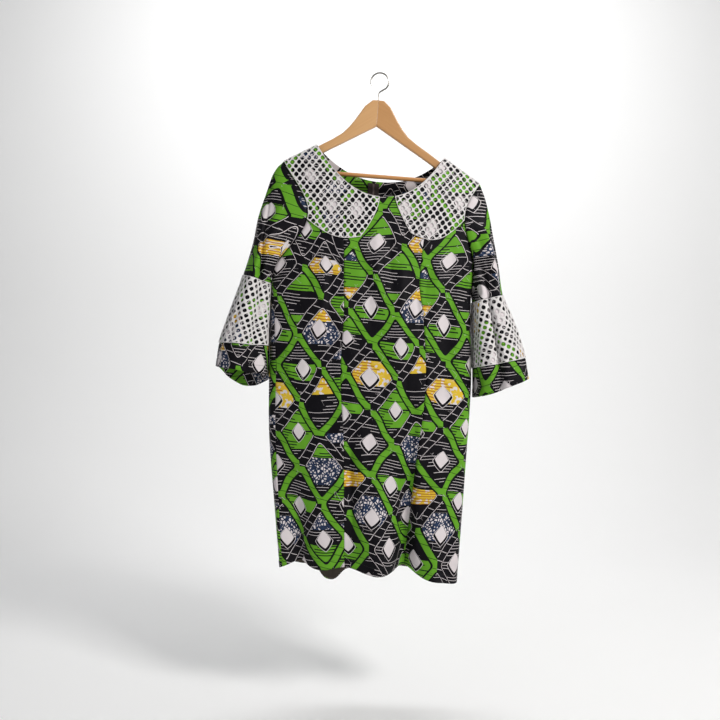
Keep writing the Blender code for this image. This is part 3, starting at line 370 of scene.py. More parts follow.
def lookup(rows, key, places, column):
    """Smooth values of a column at places along the key column."""
    keys, values = (np.array([row[name] for row in rows], dtype=float) for name in (key, column))
    if keys[0] > keys[-1]:
        keys, places = -keys, -np.asarray(places, dtype=float)
    places = np.clip(places, keys[0], keys[-1])
    index = np.clip(np.searchsorted(keys, places, side="right") - 1, 0, len(keys) - 2)
    slopes = np.gradient(values, keys)
    slopes[1:-1] = (values[2:] - values[:-2]) / (keys[2:] - keys[:-2])
    width = keys[index + 1] - keys[index]
    t = (places - keys[index]) / width
    return ((2 * t**3 - 3 * t**2 + 1) * values[index] + (t**3 - 2 * t**2 + t) * width * slopes[index]
            + (3 * t**2 - 2 * t**3) * values[index + 1] + (t**3 - t**2) * width * slopes[index + 1])


def ring(height, column):
    return lookup(BODY, "height", height, column)


def shoulder_height(x):
    """Height of the line that the cloth folds over, at this x."""
    (left_neck, left_tip), (right_neck, right_tip) = SHOULDERS["left"], SHOULDERS["right"]

    def line(start, end):
        return start[1] + (end[1] - start[1]) / (end[0] - start[0]) * (x - start[0])

    inner = np.where(x > right_neck[0], line(right_neck, right_tip), line(left_neck, right_neck))
    return np.where(x < left_neck[0], line(left_neck, left_tip), inner)


def fold_depth(angle, height):
    depth = np.zeros(np.broadcast(angle, height).shape)
    for row in FOLDS:
        grown = np.maximum(0.0, (row["start"] - height) / (row["start"] - HEM_HEIGHT))
        depth = depth + row["depth"] * bump(angle, row) * smoothstep(grown) ** row["power"]
    for row in DRAPES:
        place = np.clip((row["top"] - height) / (row["top"] - row["foot"]), 0.0, 1.0)
        depth = depth + row["depth"] * bump(angle, row) * np.sin(pi * place) ** 2
    return depth


def body_point(angle, height):
    """Middle of the body's cloth, from the angle round it and the unsheared height."""
    across, along = bearing(angle)
    x = ring(height, "centre_x") + ring(height, "half_width") * across
    drop = np.maximum(0.0, shoulder_height(x) - height)
    wing = np.minimum(1.0, np.abs(along) / WING_COS) ** 0.5
    depth = RIDGE_HALF + SHOULDER_HALF * (1.0 - np.exp(-drop / SHOULDER_ROUND)) * wing
    roundness = np.abs(along) ** ROUNDNESS * (1.0 - np.exp(-drop / BODY_DROP))
    fold = fold_depth(angle, height)
    depth = depth + ring(height, "half_depth") * roundness + fold * np.abs(along) ** 0.5
    x = x + fold * 0.5 * across * np.abs(across)
    return join(x, np.where(along >= 0.0, -depth, depth), height - DRESS_SHEAR * x)


def body_normal(angle, height):
    across = body_point(angle + SAMPLE_ANGLE, height) - body_point(angle - SAMPLE_ANGLE, height)
    down = body_point(angle, height - 2.0 * SAMPLE_HEIGHT) - body_point(angle, height)
    return unit(np.cross(down, across))


def spot(x, height, back=False):
    """Angle and height of a point at x on the front, or on the back."""
    share = np.clip((x - ring(height, "centre_x")) / ring(height, "half_width"), -0.9999, 0.9999)
    front = np.degrees(np.arcsin(share))
    return join(180.0 - front if back else front, height)


def neckline(x, back=False):
    """Height of the neck edge at x."""
    low = BACK_NECK_LOW if back else FRONT_NECK_LOW
    neck_x, neck_z = (np.where(x < 0.0, *pair) for pair in zip(SHOULDERS["left"][0], SHOULDERS["right"][0]))
    return low + (neck_z - low) * np.minimum(1.0, np.abs(x / neck_x)) ** NECK_POWER


def shoulder_spot(side, share, back=False):
    place = between(*SHOULDERS[side], share)
    return spot(place[..., 0], place[..., 1], back)


def unwrap_near(spots, angle):
    """The same places with their angle written within half a turn of the one given."""
    return join(angle + turn_between(spots[..., 0], angle), spots[..., 1])


def armhole(side, face, share):
    """Edge of the armhole from the shoulder tip to the armpit."""
    pit, (scoop, lean) = ARMPITS[side], ARMHOLES[(side, face)]
    tip = unwrap_near(shoulder_spot(side, 1.0, face == "back"), pit["angle"])
    edge = between(tip, (pit["angle"], pit["z"]), share)
    edge[..., 0] += scoop * np.sin(pi * share) * np.exp(-lean * share)
    return edge


def arm_share(step):
    return (1.0 - np.cos(pi * np.minimum(step, ARM_STEPS) / ARM_STEPS)) / 2.0


def hem_height(angle):
    front_share = smoothstep((bearing(angle - HEM_FRONT_ANGLE)[1] + HEM_TURN) / HEM_TURN_WIDTH)
    height = lerp(BACK_HEM_HEIGHT, HEM_HEIGHT, front_share)
    for row in HEM:
        away = np.abs(turn_between(angle, row["angle"]) / row["width"])
        height = height + row["lift"] * np.exp(-away ** row["power"])
    return height


def down_to_hem(column, pit_z, step, upper):
    """An edge that is given above the armpit and runs on down a seam to the hem."""
    share = np.maximum(0.0, step - ARM_STEPS) / SKIRT_STEPS
    height = lerp(pit_z, hem_height(ring(HEM_HEIGHT, column)), share)
    return np.where((step <= ARM_STEPS)[:, None], upper, join(ring(height, column), height))


def seam_line(column, top, step):
    """A seam from its top spot to the hem, level with the armhole's steps above the armpit."""
    pit_z = (ARMPITS["left"]["z"] + ARMPITS["right"]["z"]) / 2.0
    share = arm_share(step)
    height = lerp(top[1], pit_z, share)
    angle = lerp(top[0], ring(height, column), smoothstep(share * SEAM_EASE))
    return down_to_hem(column, pit_z, step, join(angle, height))


def side_line(side, face, step):
    """Outer edge of a panel: armhole, then side seam."""
    return down_to_hem("seam_" + side, ARMPITS[side]["z"], step, armhole(side, face, arm_share(step)))


def top_of(side, share, start_x, neck_share, back):
    """Neck edge from a seam to the neck point, then the shoulder seam."""
    slowing = 1.0 - (1.0 - np.clip(share / neck_share, 0.0, 1.0)) ** 2
    x = lerp(start_x, SHOULDERS[side][0][0], slowing)
    seam = shoulder_spot(side, np.clip((share - neck_share) / (1.0 - neck_share), 0.0, 1.0), back)
    return np.where((share < neck_share)[:, None], spot(x, neckline(x, back), back), seam)


def panel_spots(columns, left, right, top):
    """Rows of angle and height between two seams that are given by step, under a top curve."""
    upper = np.linspace(0.0, ARM_STEPS, ARM_STEPS * ARM_ROWS_A_STEP + 1)
    lower = np.linspace(ARM_STEPS, ARM_STEPS + SKIRT_STEPS, SKIRT_STEPS * SKIRT_ROWS_A_STEP + 1)
    step = np.concatenate([upper, lower[1:]])
    u = np.linspace(0.0, 1.0, columns + 1)
    left_line, right_line, top_line = left(step), right(step), top(u)
    top_share = (top_line[:, 0] - left_line[0, 0]) / (right_line[0, 0] - left_line[0, 0])
    fade = (1.0 - smoothstep(step / ARM_STEPS))[:, None]
    share = lerp(u[None, :], top_share[None, :], fade)
    here = left_line[:, None, :] + (right_line - left_line)[:, None, :] * share[..., None]
    top_lift = top_line[:, 1] - lerp(left_line[0, 1], right_line[0, 1], top_share)
    low = lerp(left_line[-1][:, None], right_line[-1][:, None], u)
    grow = smoothstep((step / step[-1] - 0.5) / 0.5)[:, None]
    return join(here[..., 0], here[..., 1] + top_lift * fade + (hem_height(low[0]) - low[1]) * grow)


def sleeve_oval(side, step, angle):
    across, along = bearing(angle)

    def at(column):
        return lookup(SLEEVES[side], "step", step, column)

    inner_x = at("inner_x") + SLEEVE_CLOSE[side] * smoothstep((step - 2.0) / 3.0)
    down = (1.0 - along) / 2.0
    x = lerp(at("outer_x"), inner_x, down) + np.where(across > 0.0, at("front_x"), at("back_x")) * across**2
    y = at("inner_y") * down**2 - at("half_depth") * across
    z = lerp(at("outer_z"), at("inner_z"), down) - np.where(across < 0.0, at("back_drop") * across**2, 0.0)
    return join(x, y, z)


def armhole_share(angle):
    """Share of the way down the armhole at an angle round the sleeve."""
    return (1.0 - bearing(angle)[1]) / 2.0


def armhole_ring(side, angle):
    """The armhole's edge at an angle round the sleeve: front half, then back half."""
    angle = angle % 360.0
    front = angle <= 180.0
    share = armhole_share(np.where(front, angle, 360.0 - angle))
    spots = np.where(front[..., None], armhole(side, "front", share), armhole(side, "back", share))
    return body_point(spots[..., 0], spots[..., 1])


def sleeve_relief(side, step, angle):
    """How far the folds and the short creases stand out from the sleeve's plain form."""
    depth = np.zeros(np.broadcast(step, angle).shape)
    for row in SLEEVE_FOLDS[side]:
        centre = lerp(row["angle"], row["end_angle"], smoothstep((step - 1.0) / 5.0))
        grown = smoothstep((step - row["first"]) / 2.0)
        depth = depth + row["depth"] * grown * hill(turn_between(angle, centre) / row["width"])
    for row in SLEEVE_CREASES[side]:
        share = np.clip((step - row["step"]) / (row["end_step"] - row["step"]), 0.0, 1.0)
        centre = lerp(row["angle"], row["end_angle"], share)
        taper = np.sin(pi * share) ** CREASE_TAPER
        depth = depth + row["depth"] * taper * hill(turn_between(angle, centre) / row["width"])
    return depth[..., None]


def sleeve_point(side, step, angle):
    plain = sleeve_oval(side, step, angle)
    hold = (1.0 - smoothstep(step / 2.0))[..., None]
    point = plain + (armhole_ring(side, angle) - sleeve_oval(side, np.zeros_like(step), angle)) * hold
    return point + unit(plain - sleeve_oval(side, step, angle + 180.0)) * sleeve_relief(side, step, angle)


def sleeve_normal(side, step, angle):
    left, right = angle - SLEEVE_SAMPLE_ANGLE, angle + SLEEVE_SAMPLE_ANGLE
    high = np.maximum(0.0, step - SLEEVE_SAMPLE_STEP)
    low = np.minimum(CUFF_EDGE_STEP, step + SLEEVE_SAMPLE_STEP)
    normal = unit(np.cross(sleeve_point(side, step, right) - sleeve_point(side, step, left),
                           sleeve_point(side, low, angle) - sleeve_point(side, high, angle)))
    return -normal if side == "left" else normal


def run_lengths(points, axis):
    """Way along a grid of points from its first row or column."""
    steps = np.linalg.norm(np.diff(points, axis=axis), axis=-1)
    return np.insert(np.cumsum(steps, axis=axis), 0, 0.0, axis=axis)


# Cloth coordinates: how far a place is across and along the cloth, in metres

TABLE_ANGLES = np.arange(-105.0, 291.0, 1.0)
TABLE_HEIGHTS = np.arange(-1.21, -0.160, 0.004)
TABLE_LEVEL = -0.5


def make_body_tables():
    points = body_point(*np.meshgrid(TABLE_ANGLES, TABLE_HEIGHTS))
    across, along = run_lengths(points, 1), run_lengths(points, 0)
    level = int(np.argmin(np.abs(TABLE_HEIGHTS - TABLE_LEVEL)))
    return across, along - along[level] + TABLE_HEIGHTS[level]


def sample(values, rows, columns):
    """Values of a grid between its rows and columns."""
    rows = np.clip(rows, 0.0, values.shape[0] - 1.001)
    columns = np.clip(columns, 0.0, values.shape[1] - 1.001)
    k, i = rows.astype(int), columns.astype(int)
    down, over = rows - k, columns - i
    return lerp(lerp(values[k, i], values[k, i + 1], over),
                lerp(values[k + 1, i], values[k + 1, i + 1], over), down)


BODY_ACROSS, BODY_ALONG = make_body_tables()


def cloth_place(angle, height, grain):
    """Metres across the cloth from the grain line's angle, and along it."""
    row = (height - TABLE_HEIGHTS[0]) / (TABLE_HEIGHTS[1] - TABLE_HEIGHTS[0])
    column = angle - TABLE_ANGLES[0]
    start = sample(BODY_ACROSS, row, grain - TABLE_ANGLES[0] + 0.0 * row)
    return sample(BODY_ACROSS, row, column) - start, sample(BODY_ALONG, row, column)


def body_place(across, along, grain):
    """Angle and height of a place on the cloth: cloth_place the other way, by small steps."""
    angle = grain + np.degrees(across / BODY[1]["half_width"])
    height = along + 0.0 * across
    for _ in range(PLACE_TRIES):
        here_across, here_along = cloth_place(angle, height, grain)
        left, right = (cloth_place(angle + step, height, grain)[0] for step in (-PLACE_ANGLE, PLACE_ANGLE))
        low, high = (cloth_place(angle, height + step, grain)[1] for step in (-PLACE_HEIGHT, PLACE_HEIGHT))
        turn = (across - here_across) * 2.0 * PLACE_ANGLE / np.maximum(right - left, 1e-4)
        rise = (along - here_along) * 2.0 * PLACE_HEIGHT / np.maximum(high - low, 1e-4)
        angle, height = angle + np.clip(turn, -4.0, 4.0), height + np.clip(rise, -0.02, 0.02)
    return angle, height


# Creases and seams

def armhole_distance(points):
    """Distance of each point from the nearer armhole's edge."""
    nearest = np.full(points.shape[:-1], 1.0)
    for side in SIDES:
        edge = armhole_ring(side, np.linspace(0.0, 360.0, 61))
        for start, run in zip(edge[:-1], np.diff(edge, axis=0)):
            away = points - start
            share = np.clip(away @ run / max(run @ run, 1e-12), 0.0, 1.0)
            nearest = np.minimum(nearest, np.linalg.norm(away - share[..., None] * run, axis=-1))
    return nearest


def armhole_calm(points):
    """One on open cloth, falling to nothing at the armholes, so that sleeve and body still meet."""
    return smoothstep(armhole_distance(points) / ARMHOLE_CALM)


def armhole_groove(away, share):
    """The dip at the sleeve seam, which fades at the shoulder tip and the armpit."""
    fade = smoothstep(share / 0.05) * (1.0 - smoothstep((share - 0.80) / 0.15))
    return -ARMHOLE_GROOVE * fade * hill(away / ARMHOLE_GROOVE_WIDTH)


def down_armhole(angle, height):
    """Share of the way down the armhole at this height, from the tip to the armpit."""
    on_left = bearing(angle)[0] < 0.0
    tip = np.where(on_left, SHOULDERS["left"][1][1], SHOULDERS["right"][1][1])
    return (tip - height) / (tip - np.where(on_left, ARMPITS["left"]["z"], ARMPITS["right"]["z"]))


def seam_depth(run, away, phase):
    """A seam's groove and small uneven gathers, by the way along it and the distance from it."""
    wave = np.sin(2.0 * pi * run / PUCKER_PITCH + phase + 1.3 * np.sin(run * PUCKER_DRIFT + phase))
    swell = 0.55 + 0.45 * np.sin(run * PUCKER_SWELL + 2.1 * phase)
    gathers = PUCKER * wave * swell * hill(away / PUCKER_REACH) * smoothstep(away / PUCKER_START)
    return gathers - SEAM_GROOVE * hill(away / SEAM_WIDTH)


def turned_edge(away):
    """A hem's fold line: a fine trough at the stitches and a thicker step below it."""
    step = HEM_STEP * (1.0 - smoothstep((away - HEM_TURN_UP + 0.001) / 0.002))
    return step - HEM_TROUGH * hill((away - HEM_TURN_UP) / HEM_TROUGH_WIDTH)


def crease_depth(angle, height, points):
    across, along = bearing(angle)
    x = ring(height, "centre_x") + ring(height, "half_width") * across
    depth = np.zeros(x.shape)
    for face, rows in CREASES.items():
        on_face = along > 0.0 if face == "front" else along < 0.0
        for row in rows:
            run_x, run_z = row["end_x"] - row["x"], row["end_z"] - row["z"]
            away_x, away_z = x - row["x"], height - row["z"]
            length = (run_x**2 + run_z**2) ** 0.5
            swell = np.sin(pi * np.clip((away_x * run_x + away_z * run_z) / length**2, 0.0, 1.0))
            off = (away_x * run_z - away_z * run_x) / length - row["bow"] * swell
            depth = depth + row["depth"] * hill(off / row["width"]) * swell**CREASE_TAPER * on_face
    return depth * smoothstep(np.abs(along) / CREASE_FACING) * armhole_calm(points)


def body_cloth(angle, height, lift=0.0):
    """Points of the body's cloth with its creases, moved out by lift."""
    points, normals = body_point(angle, height), body_normal(angle, height)
    return points + normals * (crease_depth(angle, height, points) + lift)[..., None], normals


# Meshes

def add_object(name, data):
    item = bpy.data.objects.new(name, data)
    bpy.context.scene.collection.objects.link(item)
    return item


def link(name, vertices, faces, places, material, thickness=0.0):
    """Mesh object with its cloth places, in metres, as its UV map."""
    mesh = bpy.data.meshes.new(name)
    mesh.from_pydata(np.asarray(vertices).tolist(), [], [tuple(face) for face in faces])
    if places is not None:
        layer = mesh.uv_layers.new(name="cloth")
        index = np.empty(len(mesh.loops), dtype=np.int32)
        mesh.loops.foreach_get("vertex_index", index)
        layer.data.foreach_set("uv", np.asarray(places, dtype=np.float32)[index].ravel())
    mesh.materials.append(MATERIALS[material])
    mesh.shade_smooth()
    mesh.update()
    item = add_object(name, mesh)
    if thickness:
        shell = item.modifiers.new("thickness", "SOLIDIFY")
        shell.thickness = thickness
        shell.offset = 0.0
        shell.use_even_offset = False
    return item


def grid_faces(rows, columns):
    start = (np.arange(rows - 1)[:, None] * columns + np.arange(columns - 1)[None, :]).ravel()
    return np.stack([start, start + 1, start + columns + 1, start + columns], axis=-1)


def cut_sheet(field, xs, ys):
    """Vertices and faces of the part of a flat grid where the field is positive."""
    places = join(*np.meshgrid(xs, ys)).reshape(-1, 2)
    values = field.ravel()
    quads = grid_faces(len(ys), len(xs))
    triangles = np.concatenate([quads[:, [0, 1, 2]], quads[:, [0, 2, 3]]])
    inside = values[triangles] > 0.0
    count = inside.sum(axis=1)
    faces = triangles[count == 3].tolist()
    made, new_places = {}, []

    def crossing(a, b):
        key = (a, b) if a < b else (b, a)
        if key not in made:
            share = float(np.clip(values[a] / (values[a] - values[b]), CUT_MARGIN, 1.0 - CUT_MARGIN))
            made[key] = len(places) + len(new_places)
            new_places.append(lerp(places[a], places[b], share))
        return made[key]

    cut = (count == 1) | (count == 2)
    for triangle, state in zip(triangles[cut], inside[cut]):
        one_in = state.sum() == 1
        lone = int(np.argmax(state)) if one_in else int(np.argmin(state))
        p, q, r = (int(triangle[(lone + k) % 3]) for k in range(3))
        if one_in:
            faces.append([p, crossing(p, q), crossing(p, r)])
        else:
            faces.append([crossing(q, p), q, r, crossing(r, p)])
    places = np.concatenate([places, np.array(new_places).reshape(-1, 2)])
    used = np.unique(np.concatenate([np.array(face) for face in faces]))
    renumber = np.full(len(places), -1)
    renumber[used] = np.arange(len(used))
    return places[used], [renumber[face].tolist() for face in faces]


def net_field(x, y, outline, open_share):
    """Positive on the net's strands. The outline is the distance in from its edge."""
    a = x / NET_PITCH_X + y / NET_PITCH_Y
    b = x / NET_PITCH_X - y / NET_PITCH_Y
    near_a, near_b = np.round(a), np.round(b)
    off_x = NET_PITCH_X * ((a - near_a) + (b - near_b)) / 2.0
    off_y = NET_PITCH_Y * ((a - near_a) - (b - near_b)) / 2.0
    uneven = open_share * (1.0 + 0.05 * np.sin(near_a * 12.9 + near_b * 78.2))
    shape = np.abs(off_x / HOLE_HALF_X) ** HOLE_POWER + np.abs(off_y / HOLE_HALF_Y) ** HOLE_POWER
    from_hole = (shape ** (1.0 / HOLE_POWER) - uneven) * HOLE_HALF_X
    return np.minimum(outline, np.maximum(from_hole, NET_BORDER - outline))


def distance_in(x, y, polygon):
    """Distance from a closed outline, positive inside it."""
    nearest = np.full(x.shape, 1.0)
    crossings = np.zeros(x.shape, dtype=int)
    for (ax, ay), (bx, by) in zip(polygon, np.roll(polygon, -1, axis=0)):
        run_x, run_y = bx - ax, by - ay
        length = run_x**2 + run_y**2
        if length < 1e-12:
            continue
        share = np.clip(((x - ax) * run_x + (y - ay) * run_y) / length, 0.0, 1.0)
        nearest = np.minimum(nearest, np.hypot(x - ax - run_x * share, y - ay - run_y * share))
        if ay != by:
            level = (ay > y) != (by > y)
            crossings += level & (x < ax + run_x * (y - ay) / run_y)
    return np.where(crossings % 2 == 1, nearest, -nearest)


# Materials

def colour(red, green, blue):
    """Linear colour of a screen colour from 0 to 255."""
    values = [channel / 255.0 for channel in (red, green, blue)]
    return tuple(v / 12.92 if v <= 0.04045 else ((v + 0.055) / 1.055) ** 2.4 for v in values) + (1.0,)


def reckon(operation):
    return lambda value, *others: value.nodes.math(operation, value, *others)


class Value:
    """A node's output, to reckon with like a number. Comparing gives 1 or 0."""

    __add__, __sub__, __mul__ = reckon("ADD"), reckon("SUBTRACT"), reckon("MULTIPLY")
    __truediv__, __pow__, __abs__ = reckon("DIVIDE"), reckon("POWER"), reckon("ABSOLUTE")
    __lt__, __gt__ = reckon("LESS_THAN"), reckon("GREATER_THAN")

    def __init__(self, nodes, socket):
        self.nodes, self.socket = nodes, socket

    def __rsub__(self, other):
        return self.nodes.math("SUBTRACT", other, self)


class Nodes:
    """Short names for building a material's nodes."""

    def __init__(self, name):
        self.material = bpy.data.materials.new(name)
        self.material.use_nodes = True
        self.tree = self.material.node_tree

    def feed(self, node, inputs):
        for key, value in inputs.items():
            if isinstance(value, Value):
                self.tree.links.new(value.socket, node.inputs[key])
            else:
                node.inputs[key].default_value = value

    def add(self, kind, inputs, output=0, **settings):
        node = self.tree.nodes.new("ShaderNode" + kind)
        for key, value in settings.items():
            setattr(node, key, value)
        self.feed(node, inputs)
        return Value(self, node.outputs[output])

    def shade(self, **inputs):
        """Feed the shader, where an underscore stands for a space, and give back the material."""
        shader = self.tree.nodes["Principled BSDF"]
        self.feed(shader, {key.replace("_", " "): value for key, value in inputs.items()})
        return self.material

    def math(self, operation, *values):
        return self.add("Math", dict(enumerate(values)), operation=operation)

    def floor(self, value):
        return self.math("FLOOR", value)

    def wave(self, value, pitch):
        return self.math("SINE", value * (2.0 * pi / pitch))

    def pick(self, share, first, second):
        """The first number where the share is 0 and the second where it is 1, both exactly."""
        return self.math("MULTIPLY_ADD", share, second - first, first)

    def mix(self, share, first, second):
        return self.add("Mix", {"Factor": share, "A": first, "B": second}, "Result", data_type="RGBA")

    def vector(self, x, y, z=0.0):
        return self.add("CombineXYZ", {0: x, 1: y, 2: z})

    def split(self, vector):
        return [Value(self, socket) for socket in self.add("SeparateXYZ", {0: vector}).socket.node.outputs]

    def noise(self, vector, scale, detail=2.0, roughness=0.5):
        inputs = {"Vector": vector, "Scale": scale, "Detail": detail, "Roughness": roughness}
        return self.add("TexNoise", inputs)

    def tone(self, vector, scale, first, second):
        """A colour that wanders between two screen colours."""
        return self.mix(self.noise(vector, scale, 3.0), colour(*first), colour(*second))

    def cells(self, vector, scale):
        """Distance from the edges of uneven cells."""
        inputs = {"Vector": vector, "Scale": scale}
        return self.add("TexVoronoi", inputs, "Distance", feature="DISTANCE_TO_EDGE")

    def chance(self, x, y, z=0.0):
        """A number from 0 to 1 that is the same all over one cell."""
        return self.add("TexWhiteNoise", {"Vector": self.vector(x, y, z)}, "Value", noise_dimensions="3D")

    def place(self):
        """Across and along the cloth, in metres."""
        vector = self.add("UVMap", {}, uv_map="cloth")
        return vector, *self.split(vector)[:2]

    def where(self):
        """Place in the object's own metres."""
        return self.add("TexCoord", {}, "Object")

    def bump(self, height, distance, strength, **under):
        return self.add("Bump", {"Height": height, "Distance": distance, "Strength": strength, **under})


# A generic wax print: split lozenges between crossing bands, in the photo's colours and scale
PRINT_WIDE = 0.106
PRINT_TALL = 0.150
PRINT_SWAY = 0.034
SWAY_SCALE = 8.0
BAND_HALF = 0.0060
CROSSING_ROUND = 0.14
EDGE_INK = 0.0019
EDGE_WHITE = 0.0010
HATCH_PITCH = 0.0066
# Where on the scale of chance a zone turns from dark to green, navy crackle and gold
GREEN_FROM = 0.60
NAVY_FROM = 0.78
GOLD_FROM = 0.925
ZONE_LINE = 0.0009
LOZENGE_HALF_X = 0.0146
LOZENGE_HALF_Y = 0.0190
LOZENGE_POWER = 1.2
LOZENGES_MISSING = 0.30
THREAD_PITCH = 0.0009
GREEN = colour(100, 163, 42)
INK = colour(13, 11, 17)
WHITE = colour(222, 214, 216)
NAVY = colour(51, 70, 104)
YELLOW = colour(222, 187, 58)
OCHRE = colour(176, 118, 40)


def make_print():
    n = Nodes("print_cloth")
    vector, across, along = n.place()
    u = (n.noise(vector, SWAY_SCALE, 1.0) - 0.5) * PRINT_SWAY + across
    v = (n.noise(n.vector(along, across, 3.0), SWAY_SCALE, 1.0) - 0.5) * PRINT_SWAY + along
    wide, tall = u / PRINT_WIDE, v / PRINT_TALL
    a, b = wide + tall, wide - tall
    i, j = n.floor(a), n.floor(b)
    fa, fb = a - i, b - j
    x, y = (fa + fb - 1.0) * (PRINT_WIDE / 2.0), (fa - fb) * (PRINT_TALL / 2.0)

    def chance(layer):
        return n.chance(i, j, layer)

    # The bands between the cells, green or dark from crossing to crossing, with inked edges
    edge_a, edge_b = 0.5 - abs(fa - 0.5), 0.5 - abs(fb - 0.5)
    slant = PRINT_WIDE * PRINT_TALL / (PRINT_WIDE**2 + PRINT_TALL**2) ** 0.5
    edge = n.math("SMOOTH_MIN", edge_a, edge_b, CROSSING_ROUND) * slant
    line_white = n.math("COMPARE", edge, BAND_HALF + EDGE_INK + EDGE_WHITE / 2.0, EDGE_WHITE / 2.0)
    falling = edge_b < edge_a
    number = n.pick(falling, n.floor(a + 0.5), n.floor(b + 0.5))
    stretch = n.floor(n.pick(falling, b, a))
    dark_band = n.chance(number, stretch, falling) < falling * 0.42 + 0.24

    # Each cell has up to three zones, each green, black, navy or gold, with hatching on some lines
    split, low_split = chance(5.0) * 0.030 + 0.004, chance(6.0) * 0.030 - 0.040
    kind = chance(((y < split) + (y < low_split)) * 9.0)
    line = y / HATCH_PITCH
    reach = chance(n.floor(line) + 40.0) * 0.085 - 0.036
    in_reach = x * ((chance(12.0) > 0.5) * 2.0 - 1.0) < reach
    line_part = n.math("FRACT", line)
    hatch, thick_hatch = ((line_part < width) * in_reach for width in (0.15, 0.38))
    vein = n.cells(n.vector(u, v), 150.0) < n.noise(vector, 60.0, 2.0) * 0.37
    crackle = n.mix(vein, WHITE, n.mix(n.noise(vector, 45.0), INK, NAVY))
    gold = n.mix(thick_hatch, n.mix(n.noise(vector, 90.0, 1.0) > 0.56, YELLOW, WHITE), OCHRE)
    fill = n.mix(kind > GREEN_FROM, n.mix(hatch, INK, WHITE), n.mix(thick_hatch, GREEN, INK))
    fill = n.mix(kind > NAVY_FROM, fill, crackle)
    fill = n.mix(kind > GOLD_FROM, fill, gold)
    seams = (n.math("COMPARE", y, height, ZONE_LINE) for height in (split, low_split))
    fill = n.mix(n.math("MAXIMUM", *seams), fill, INK)

    # A white lozenge with a black and a white rim in most cells
    aside = abs(x - (chance(21.0) - 0.5) * 0.016)
    above = y - (chance(22.0) - 0.5) * 0.034
    shown = chance(31.0) > LOZENGES_MISSING
    for grow, drop, ink in ((0.0046, 0.0034, WHITE), (0.0034, 0.0034, INK), (0.0, 0.0, WHITE)):
        wide_part = (aside / (LOZENGE_HALF_X + grow)) ** LOZENGE_POWER
        tall_part = (abs(above + drop) / (LOZENGE_HALF_Y + grow)) ** LOZENGE_POWER
        fill = n.mix((wide_part + tall_part < 1.0) * shown, fill, ink)

    stroke = n.math("FRACT", (v + u * 0.25) * 52.0) < 0.06
    band = n.mix(dark_band, n.mix(stroke, GREEN, INK), n.mix(stroke, INK, WHITE))
    in_line = edge < BAND_HALF + EDGE_INK + 2.0 * EDGE_WHITE
    inked = n.mix(in_line, fill, n.mix(line_white * dark_band, INK, WHITE))
    inked = n.mix(edge < BAND_HALF, inked, band)

    # Wear and weave
    hair = (n.cells(vector, 26.0) < 0.006) * (n.noise(vector, 30.0) > 0.60)
    worn = n.noise(vector, 22.0, 4.0, 0.6) * 0.30 + 0.85
    tone = n.add("HueSaturation", {"Color": n.mix(hair * 0.5, inked, WHITE), "Value": worn})
    weave = n.bump(n.wave(across, THREAD_PITCH) * n.wave(along, THREAD_PITCH), 0.00008, 0.5)
    crush = n.noise(vector, 70.0, 4.0, 0.62)
    return n.shade(Base_Color=tone, Roughness=n.noise(vector, 35.0, 3.0) * 0.18 + 0.46,
                   Specular_IOR_Level=0.11, Sheen_Weight=0.015, Sheen_Roughness=0.45,
                   Normal=n.bump(crush, 0.0011, 0.55, Normal=weave))


def make_net():
    n = Nodes("net")
    vector, across, along = n.place()
    knit = n.math("MAXIMUM", n.wave(across + along, 0.0017), n.wave(across - along, 0.0017))
    fuzz = n.noise(vector, 240.0, 3.0)
    return n.shade(Base_Color=n.tone(vector, 55.0, (238, 232, 232), (252, 249, 248)), Roughness=0.82,
                   Sheen_Weight=0.25, Sheen_Roughness=0.6,
                   Normal=n.bump(fuzz, 0.0004, 0.7, Normal=n.bump(knit, 0.00035, 0.8)))


# Painted shade: a plain dark brown that stands in for the shade inside the back hem
def make_painted_hem_shade():
    n = Nodes("painted_hem_shade")
    vector, across, along = n.place()
    weave = n.bump(n.wave(across, 0.0010) * n.wave(along, 0.0010), 0.0001, 0.6)
    return n.shade(Base_Color=n.tone(vector, 40.0, (46, 36, 26), (70, 58, 38)), Roughness=0.62,
                   Sheen_Weight=0.1, Normal=n.bump(n.noise(vector, 80.0, 3.0), 0.0008, 0.5, Normal=weave))


def make_tape():
    n = Nodes("zip_tape")
    where = n.where()
    x, _, z = n.split(where)
    ribs = n.math("MAXIMUM", n.wave(z, 0.0012), n.wave(x, 0.0016))
    return n.shade(Base_Color=n.tone(where, 160.0, (44, 34, 36), (74, 58, 58)), Roughness=0.8,
                   Normal=n.bump(ribs, 0.0002, 0.8))


def make_thread(name, light, dark):
    n = Nodes(name)
    where = n.where()
    return n.shade(Base_Color=n.mix(n.noise(where, 400.0), colour(*light), colour(*dark)), Roughness=0.7,
                   Normal=n.bump(n.noise(where, 2500.0, 1.0), 0.0002, 0.6))


def make_metal():
    n = Nodes("metal")
    where = n.where()
    return n.shade(Base_Color=n.tone(where, 180.0, (172, 170, 166), (150, 146, 140)), Metallic=1.0,
                   Roughness=n.noise(where, 300.0, 3.0) * 0.22 + 0.22,
                   Normal=n.bump(n.noise(where, 900.0, 2.0), 0.0001, 0.4))


def make_wood(name, light, dark, run_x, run_z):
    """Varnished wood with its grain along the run, given as x and z."""
    n = Nodes(name)
    x, y, z = n.split(n.where())
    along, across = x * run_x + z * run_z, z * run_x - x * run_z
    bend = n.noise(n.vector(along * 0.35, across, y), 30.0, 1.0) - 0.5
    level = bend * 0.010 + across
    grain = n.noise(n.vector(along * 5.0, level * 240.0, y * 90.0), 1.0, 3.0, 0.6)
    fine = n.noise(n.vector(along * 30.0, level * 1500.0, y * 900.0), 1.0, 2.0)
    return n.shade(Base_Color=n.mix(fine * 0.35 + grain * 0.75, colour(*dark), colour(*light)),
                   Roughness=grain * 0.16 + 0.34, Coat_Weight=0.3, Coat_Roughness=0.24,
                   Normal=n.bump(fine, 0.0002, 0.35))


